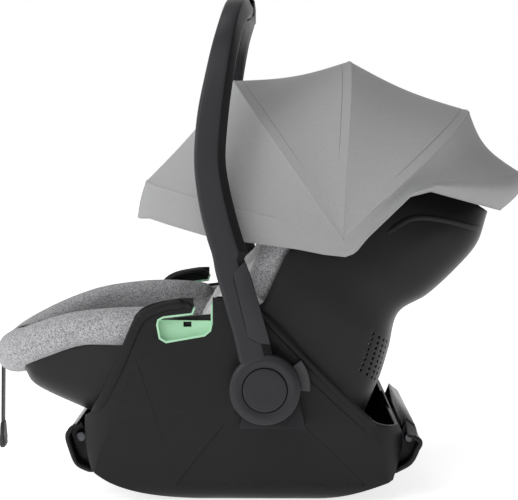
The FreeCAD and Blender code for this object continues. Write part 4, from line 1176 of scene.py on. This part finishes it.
# Sleeves round the bows and rolled hems at the two free edges, in the same cloth: body, thickness (mm).
SLEEVES = {"peak": ("canopy_peak", 8.0), "front": ("canopy_front", 7.0), "mid": ("canopy_mid", 7.0),
           "rear": ("seat", 7.0), "hem": ("canopy_peak", 2.8), "rear_hem": ("seat", 2.8)}
HOOD_OUT = (0.01, 0.02, 1.0)
for name, (body, thick) in SLEEVES.items():
    line = []
    for step in range(161):
        spot = rib_point(name, step / 160)
        line.append((spot + towards_pin(spot) * (thick / 2 - 0.9)) * MM)
    rod(f"hood_sleeve_{name}", line, thick, thick, 14, hood, body, HOOD_OUT, 1.0)

# Seams: one fine row of stitches on the cloth beside a ridge, at a distance (mm) from that ridge.
SEAMS = [("front", "front", "mid", 7.0, True, "canopy_front"),
         ("mid", "front", "mid", 7.0, False, "canopy_mid"),
         ("rear", "mid", "rear", 6.0, False, "seat")]
for name, first, last, sag, by_first, body in SEAMS:
    line = []
    for step in range(121):
        along = 0.06 + 0.88 * step / 120
        gap = (rib_point(first, along) - rib_point(last, along)).length
        share = min(0.45, 11.0 / max(gap, 1.0))
        spot = hood_point(first, last, sag, along, share if by_first else 1 - share)
        line.append((spot - towards_pin(spot) * 0.6) * MM)
    rod(f"hood_seam_{name}", line, 0.7, 0.5, 6, hood_thread, body, HOOD_OUT, 1.0)

spring_steel = plated_steel("sprung_steel_strip", "77797C")
for name, body in (("rear", "seat"), ("mid", "canopy_mid"), ("front", "canopy_front"),
                   ("visor", "canopy_peak")):
    moulding(f"canopy_bow_{name}", f"spring_bow_{name}", spring_steel, "steel", body, round_off=0.3)
for side in ("left", "right"):
    moulding(f"canopy_mount_{side}", f"bow_pin_{side}", shell_plastic, "shell_plastic", round_off=0.5)

# ------------------------------------------------------------------------------ headrest and harness
# A moulded headrest with a padded U, and a harness of black webbing with a buckle between the legs.

moulding("headrest_shell", "headrest_tray", shell_plastic, "shell_plastic", "headrest", round_off=1.0)
pad(finished_copy("headrest_pad", "headrest_cushion", round_off=0.0), 0.005, 0.005, knit,
    ["headrest_pad"], "headrest")
for node in ("shoulder_straps", "crotch_strap", "hip_straps"):
    moulding(node, f"woven_{node}", strap_web, "webbing", round_off=0.4)
pad(finished_copy("shoulder_pads", "chest_pads", round_off=0.0), 0.004, 0.004, knit,
    ["shoulder_pads"])
gloss_black = moulded_plastic("gloss_black_acetal", "161618", rough=0.22, depth=0.03)
for node, name in (("buckle_housing", "buckle_body"), ("harness_tongues", "buckle_tongues"),
                   ("adjuster_housing", "adjuster_frame")):
    moulding(node, name, gloss_black, "buckle_plastic", round_off=1.2, segments=3)
moulding("shell_bosses", "screw_bosses", shell_plastic, "shell_plastic")
moulding("adjuster_button", "adjuster_push", lever_plastic, "buckle_plastic", "adjuster_press", segments=3)
red_plastic = moulded_plastic("signal_red_abs", "B3201C", rough=0.3, depth=0.04)
moulding("buckle_button", "buckle_push", red_plastic, "button_red", "buckle_press", round_off=1.0, segments=3)
moulding("shell_screws", "boss_screws", steel, "steel", round_off=0.4)
